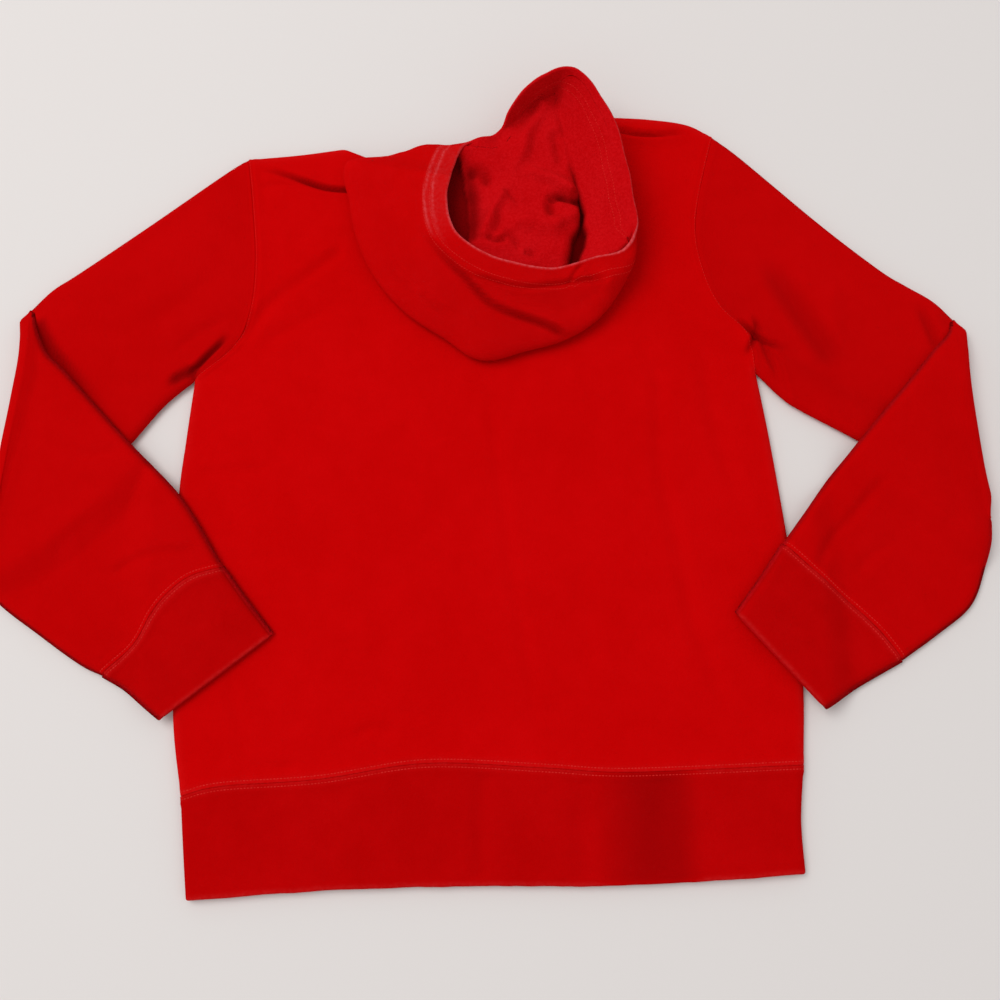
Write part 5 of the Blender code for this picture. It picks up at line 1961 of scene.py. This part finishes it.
@dataclass
class Hood:
    """The hood as an open bag: sections around its centre, each from its floor up to its rim.

    Seams, ends and arcs are directions from the centre in degrees, as the sections' angles are.
    The hollow numbers say how much painted shade darkens the floor where the cloth isn't heaped,
    more so on the right.
    """

    ground: GroundPlan
    seam_throat: float = 125.0
    seam_crown: float = 250.0
    seam_forehead: float = 320.0
    fine_end: float = 172.0
    core_radii: tuple[float, ...] = tuple(range(0, 32, 2))
    core: float = 30.0
    knee: float = 76.0
    knee_rows: int = 23
    floor_shares: int = 30
    foot_shares: tuple[float, ...] = (0.12, 0.25, 0.4, 0.55, 0.7, 0.85)
    side_rows: int = 26
    rim_rows: int = 26
    quarter_turn_pull: float = 1.17
    side_pull: float = 0.75
    hem_width: float = 21.0
    hem_step: float = 5.0
    row_insets: Pair = (1.5, 7.0)
    bunches: tuple[Bunch, ...] = BUNCHES
    low_rim: Span = Span(108.0, 156.0, 9.0, 7.0)
    leaning_arc: Span = Span(0.0, 217.0, 20.0, 10.0)
    leaning_start: float = -60.0
    banked_arc: Span = Span(296.0, 354.0, 14.0, 10.0)
    streaked_arc: Span = Span(142.0, 212.0, 10.0, 24.0)
    # Arc of the lower rim that is painted lighter as a highlight.
    highlight_arc: Span = Span(175.0, 345.0, 25.0, 20.0)
    # Painted shade on the floor's hollows, how it grows to the right, and how it fades on heaped
    # cloth.
    hollow_shade: float = 0.72
    right_shade: float = 0.25
    right_from: float = 40.0
    right_ease: float = 12.0
    hollow_reach: float = 1.15
    hollow_rise: float = 8.0
    rim_reach: float = 2.4
    rim_wear: float = 0.35
    # Painted highlight on that arc, besides the rim's rub wear.
    painted_highlight: float = 0.85
    streak_wear: float = 0.5
    streak_width: float = 0.9
    band_wear: float = 0.1
    heap_creases: tuple[Crease, ...] = HEAP_CREASES
    side_creases: tuple[Crease, ...] = SIDE_CREASES
    heap_waves: Waves = ((0.7, 13.0, 2.2), (0.35, 6.0, 9.2))
    side_waves: Waves = ((0.5, 26.0, 5.0), (0.25, 9.0, 15.0))
    streaks: tuple[float, ...] = (12.0, 18.0)

    def __post_init__(self) -> None:
        """Lay out the directions of the columns and the table of sections."""
        runs = (
            (self.seam_throat, self.fine_end, 1.4),
            (self.fine_end, self.seam_crown, 0.85),
            (self.seam_crown, self.seam_forehead, 1.1),
            (self.seam_forehead, self.seam_throat + 360, 1.8),
        )
        turns = [
            np.linspace(start, end, round((end - start) / step), endpoint=False)
            for start, end, step in runs
        ]
        self.angles = np.concatenate(turns)
        table = np.array([astuple(section) for section in HOOD_SECTIONS], dtype=float)
        before, after = table[-2:].copy(), table[:3].copy()
        before[:, 0] -= 360
        after[:, 0] += 360
        self.table = np.concatenate([before, table, after])
        self.floor_rows = len(self.core_radii) + self.floor_shares
        self.painted_hollow_shade = np.zeros(1)

    def station(self, column: int, angle: float) -> float:
        """One column of the section table.

        Args:
            column: Its number.
            angle: Direction from the centre.

        Returns:
            Its value there.
        """
        angle = angle % 360
        angles = self.table[:, 0]
        index = int(np.searchsorted(angles, angle, side="right")) - 1
        index = min(max(index, 1), len(angles) - 3)
        share = (angle - angles[index]) / (angles[index + 1] - angles[index])
        return float(catmull_rom(*self.table[index - 1 : index + 3, column], share))

    def section(self, angle: float) -> tuple[list, list]:
        """One section of the hood.

        Args:
            angle: Direction from the centre.

        Returns:
            Radii of its floor points, then radius and height up to its rim.
        """
        foot_r, out_r, out_z, mid_r, mid_z, rim_r, rim_z = (
            self.station(column, angle) for column in range(1, 8)
        )
        knee_share = self.knee_rows / self.floor_shares
        knee = min(self.knee, self.core + (foot_r - self.core) * knee_share)
        stops = (0, self.knee_rows, self.floor_shares)
        outward = np.interp(np.arange(self.floor_shares + 1), stops, (self.core, knee, foot_r))
        floor = list(self.core_radii[:-1]) + list(outward)
        foot = np.array([foot_r, float(self.ground.rest_height(self.plan(angle, foot_r)))])
        out, mid, rim = np.array([out_r, out_z]), np.array([mid_r, mid_z]), np.array([rim_r, rim_z])
        foot_chord, side_chord = np.linalg.norm(out - foot), np.linalg.norm(mid - out)
        rising = np.maximum((out - foot) / foot_chord + (mid - out) / side_chord, 0.0)
        rising /= np.linalg.norm(rising)
        foot_pull = self.quarter_turn_pull * foot_chord
        mid_pull = (rim - out) / 2
        side_shares = np.linspace(0, 1, self.side_rows, endpoint=False)
        rim_shares = smooth_edge(np.linspace(0, 1, self.rim_rows))
        runs = (
            (self.foot_shares, foot, foot_pull * np.array([1.0, 0.0]), out, foot_pull * rising),
            (side_shares, out, self.side_pull * side_chord * rising, mid, mid_pull),
            (rim_shares, mid, mid_pull, rim, rim - mid),
        )
        side = []
        for shares, start, pull_start, end, pull_end in runs:
            side += [hermite(start, pull_start, end, pull_end, share) for share in shares]
        return floor, side

    @staticmethod
    def plan(angle: float, radius: float) -> Points:
        """Plan point at a direction and radius from the centre.

        Args:
            angle: The direction in degrees.
            radius: The radius.

        Returns:
            The point.
        """
        turn = math.radians(angle)
        x = HOOD_CENTRE[0] + radius * math.cos(turn)
        y = HOOD_CENTRE[1] + radius * math.sin(turn)
        return np.array([x, y])

    def heap(self, plan: Points, base: Points, rim: Points) -> Points:
        """Height of the visible cloth in the opening.

        Args:
            plan: Plan points.
            base: Height of the cloth before it is heaped.
            rim: The inner sheet's last row.

        Returns:
            Height at each point.
        """
        height = base
        for bunch in self.bunches:
            height = np.maximum(height, bunch.height(plan, base, rim))
        first = depth_inside(np.array(self.bunches[0].edge, dtype=float), plan)
        folds = sum(crease.rise(plan) for crease in self.heap_creases)
        folds += waver(plan, self.heap_waves)
        return height + folds * smooth_step((first + 1.0) / 6.0)

    def outer_sheet(self) -> Points:
        """Rows of points from the centre of the floor out to the rim.

        Returns:
            The rows.
        """
        columns = []
        for angle in self.angles:
            floor, side = self.section(angle)
            plan = [self.plan(angle, radius) for radius in floor]
            points = [(*spot, 0.0) for spot in plan]
            for radius, height in side:
                points.append((*self.plan(angle, radius), height))
            columns.append(points)
        sheet = np.array(columns).transpose(1, 0, 2)
        rows = self.floor_rows
        sheet[:rows, :, 2] = self.ground.rest_height(sheet[:rows, :, :2])
        return sheet

    @staticmethod
    def inward(sheet: Points) -> Points:
        """Unit directions from the outside of the hood into it.

        Args:
            sheet: The outer sheet.

        Returns:
            One direction for each point.
        """
        around = np.roll(sheet, -1, axis=1) - np.roll(sheet, 1, axis=1)
        up = np.gradient(sheet, axis=0)
        normals = np.cross(around, up)
        normals[0] = (0.0, 0.0, -1.0)
        normals /= np.linalg.norm(normals, axis=-1)[..., None]
        return -normals

    def wall(self) -> Wall:
        """The whole hood with its folds, hem, wear and painted light.

        Returns:
            The hood's wall.
        """
        outer = self.outer_sheet()
        plan = outer[..., :2].copy()
        row = np.arange(len(outer))[:, None]
        inward = self.inward(outer)
        on_side = smooth_step((row - self.floor_rows - len(self.foot_shares)) / 4.0)
        sink = sum(crease.rise(plan) for crease in self.side_creases)
        lower = plan[..., 1] < HOOD_CENTRE[1] - 10
        sink = np.where(lower, sink, 0.0)
        for height, size, seed in self.side_waves:
            sink = sink + height * wander(outer, size, seed)
        outer = outer - inward * (sink * on_side)[..., None]
        floor = smooth_step((self.floor_rows + 2.0 - row) / 3.0)[..., None]
        inward = self.inward(outer) * (1 - floor) + np.array([0.0, 0.0, 1.0]) * floor
        inward /= np.linalg.norm(inward, axis=-1)[..., None]
        steps = np.linalg.norm(np.diff(outer, axis=0), axis=-1)
        below_rim = np.cumsum(steps[::-1], axis=0)[::-1]
        to_rim = np.concatenate([below_rim, np.zeros((1, steps.shape[1]))])
        hemmed = smooth_step((self.hem_width - to_rim) / self.hem_step + 0.5)
        rows_dent = np.exp(-(((to_rim - self.hem_width + self.row_insets[0]) / DENT_WIDTH) ** 2))
        thick = CLOTH_WALL + (HOOD_HEM_WALL - CLOTH_WALL) * hemmed - 0.4 * rows_dent
        inner = outer + inward * thick[..., None]
        self.heap_up(outer, inner, row)
        wall = Wall(outer, inner, ring=True)
        # Painted shade along the lap and the other creases on the hood's side.
        painted_shade = sum(crease.painted_shade(plan) for crease in self.side_creases) * on_side * lower
        wall.wear = self.wear(to_rim) - self.painted_hollow_shade - painted_shade
        return wall

    def heap_up(self, outer: Points, inner: Points, row: Points) -> None:
        """Raise the cloth in the opening, with the wall's foot where it leans outward, and paint
        shade on the floor's hollows.

        Args:
            outer: The outer sheet.
            inner: The inner sheet, which is seen.
            row: Numbers of the rows.
        """
        reach = np.linalg.norm(inner[..., :2] - np.array(HOOD_CENTRE), axis=-1)
        leaning = self.leaning_arc.share((self.angles - self.leaning_start) % 360)[None, :]
        leaning = leaning * smooth_step((reach[-1:] + 3.5 - reach) / 3.0)
        angle = self.angles % 360
        low = self.low_rim.share(angle)[None, :]
        on_floor = row < self.floor_rows
        raised = self.heap(inner[..., :2], inner[..., 2], inner[-1:].copy()) - inner[..., 2]
        banked = self.banked_arc.share(angle)[None, :]
        above_rim = np.maximum(smooth_step((len(outer) - 1 - row) / 9.0), np.maximum(low, banked))
        inner[..., 2] += raised * np.where(on_floor, 1.0, leaning * above_rim)
        up_side = np.clip((row - self.floor_rows) / (len(outer) - 1 - self.floor_rows), 0.0, 1.0)
        outer[..., 2] += raised * np.where(on_floor, 1.0, low * up_side**1.5)
        # Painted shade on the floor where the cloth isn't heaped, stronger on the right.
        on_right = smooth_step((inner[..., 0] - self.right_from) / self.right_ease)
        painted_darkness = (self.hollow_shade + self.right_shade * on_right) * on_floor
        self.painted_hollow_shade = painted_darkness * smooth_step(self.hollow_reach - raised / self.hollow_rise)

    def wear(self, to_rim: Points) -> Points:
        """Rubbed places: the rim, and the left side's stitch rows; and a painted highlight along
        the rim's lower arc.

        Args:
            to_rim: Length of cloth between each point and the rim.

        Returns:
            Wear and painted highlight of each point.
        """
        turn = self.angles % 360
        left, low = self.streaked_arc.share(turn), self.highlight_arc.share(turn)
        # The rim's rub wear, with a painted highlight along its lower arc.
        rim = fading(to_rim, self.rim_reach) * (self.rim_wear + self.painted_highlight * low)[None, :]
        streak = sum(
            np.exp(-(((to_rim - place) / self.streak_width) ** 2)) for place in self.streaks
        )
        band = self.band_wear * smooth_step((self.hem_width - to_rim) / self.hem_step)
        return np.maximum(rim, (self.streak_wear * streak + band) * left[None, :])

    def left_cells(self, rows: int) -> Points:
        """Cells of the left panel.

        Args:
            rows: Rows of points of the sheet.

        Returns:
            A table that is true where a cell belongs to it.
        """
        mids = self.angles + np.append(np.diff(self.angles), 360 - np.ptp(self.angles)) / 2
        side = (mids > self.seam_throat) & (mids < self.seam_crown)
        crown = (mids > self.seam_crown) & (mids < self.seam_forehead)
        seam_row = self.floor_rows + len(self.foot_shares) - 1
        above = np.arange(rows - 1) >= seam_row
        return side[None, :] | (crown[None, :] & above[:, None])

    def stitch_rows(self, wall: Wall) -> list[StitchRow]:
        """Stitch rows of the turned hem.

        Args:
            wall: The hood.

        Returns:
            The rows on the outside and on the inside.
        """
        rows = []
        inside = Wall(wall.inner, wall.outer, ring=True)
        shown = (self.angles > self.low_rim.end) & (self.angles < self.low_rim.start + 360)
        for inset in self.row_insets:
            distance = self.hem_width - inset
            points, out = wall.beside(0, True, distance)
            rows.append(StitchRow(points, out, closed=True, width=0.5, height=0.36))
            points, out = inside.beside(0, True, distance)
            rows.append(StitchRow(points[shown], out[shown], width=0.4, height=0.26))
        return rows

    def build(self, dresser: Dresser) -> None:
        """Make the two panels.

        Args:
            dresser: Hands them over.
        """
        wall = self.wall()
        rows = self.stitch_rows(wall)
        wall.round_edge(0, True, RIM_RADIUS)
        left = self.left_cells(len(wall.outer))
        dresser.sew("hood_left", wall, Finish.HOOD, rows, left)
        dresser.sew("hood_right", wall, Finish.HOOD, keep=~left)


@dataclass(frozen=True)
class Studio:
    """Pale floor, soft light and the camera.

    Places and sizes are metres and the tilt is degrees.
    """

    camera_place: Triple = (0.007525, -0.192647, 0.80)
    camera_tilt: float = 12.0
    lens: float = 38.59
    floor_colour: Colour = (0.74, 0.71, 0.695, 1.0)
    floor_half: float = 4.0
    floor_drop: float = 0.0002
    key_place: Triple = (-1.75, 0.95, 3.2)
    key_size: float = 2.6
    key_energy: float = 69.0
    key_colour: Triple = (1.0, 0.985, 0.97)
    sky_colour: Colour = (1.0, 0.985, 0.985, 1.0)
    sky_strength: float = 0.64

    def build(self) -> None:
        """Set it all up."""
        self.floor()
        self.lights()
        self.camera()
        LOG.info("studio ready")

    def floor(self) -> None:
        """A matt pale floor."""
        mesh = bmesh.new()
        bmesh.ops.create_grid(mesh, x_segments=1, y_segments=1, size=self.floor_half)
        bmesh.ops.translate(mesh, verts=mesh.verts[:], vec=(0, 0, -self.floor_drop))
        data = bpy.data.meshes.new("floor")
        mesh.to_mesh(data)
        mesh.free()
        nodes = Nodes("studio_floor")
        nodes.set_inputs({
            "Base Color": self.floor_colour, "Roughness": 0.9, "Specular IOR Level": 0.2
        })
        data.materials.append(nodes.material)
        floor = stand("floor", data)

    def lights(self) -> None:
        """A large soft key from the upper left, and a pale sky."""
        key = bpy.data.lights.new("key", "AREA")
        key.shape = "DISK"
        key.size = self.key_size
        key.energy = self.key_energy
        key.color = self.key_colour
        lamp = stand("key", key)
        lamp.location = self.key_place
        lamp.rotation_euler = (-lamp.location).to_track_quat("-Z", "Y").to_euler()
        world = bpy.data.worlds.new("sky")
        world.use_nodes = True
        background = world.node_tree.nodes["Background"]
        background.inputs[0].default_value = self.sky_colour
        background.inputs[1].default_value = self.sky_strength
        bpy.context.scene.world = world
        bpy.context.scene.view_settings.view_transform = "Standard"

    def camera(self) -> None:
        """A camera above the hem that looks a little towards the neck."""
        data = bpy.data.cameras.new("camera")
        data.sensor_width = 36.0
        data.lens = self.lens
        camera = stand("camera", data)
        camera.location = self.camera_place
        camera.rotation_euler = (math.radians(self.camera_tilt), 0.0, 0.0)
        bpy.context.scene.camera = camera


def main() -> None:
    """Build the garment and the studio round it."""
    logging.basicConfig(level=logging.INFO, format="%(message)s")
    Studio().build()
    dresser = Dresser(Wardrobe())
    ground = GroundPlan(LEFT_SLEEVE, RIGHT_SLEEVE)
    body = Body(ground)
    body.build(dresser)
    for shape in (LEFT_SLEEVE, RIGHT_SLEEVE):
        Sleeve(shape, ground, body.armhole_shares()).build(dresser)
    Hood(ground).build(dresser)


if __name__ == "__main__":
    main()
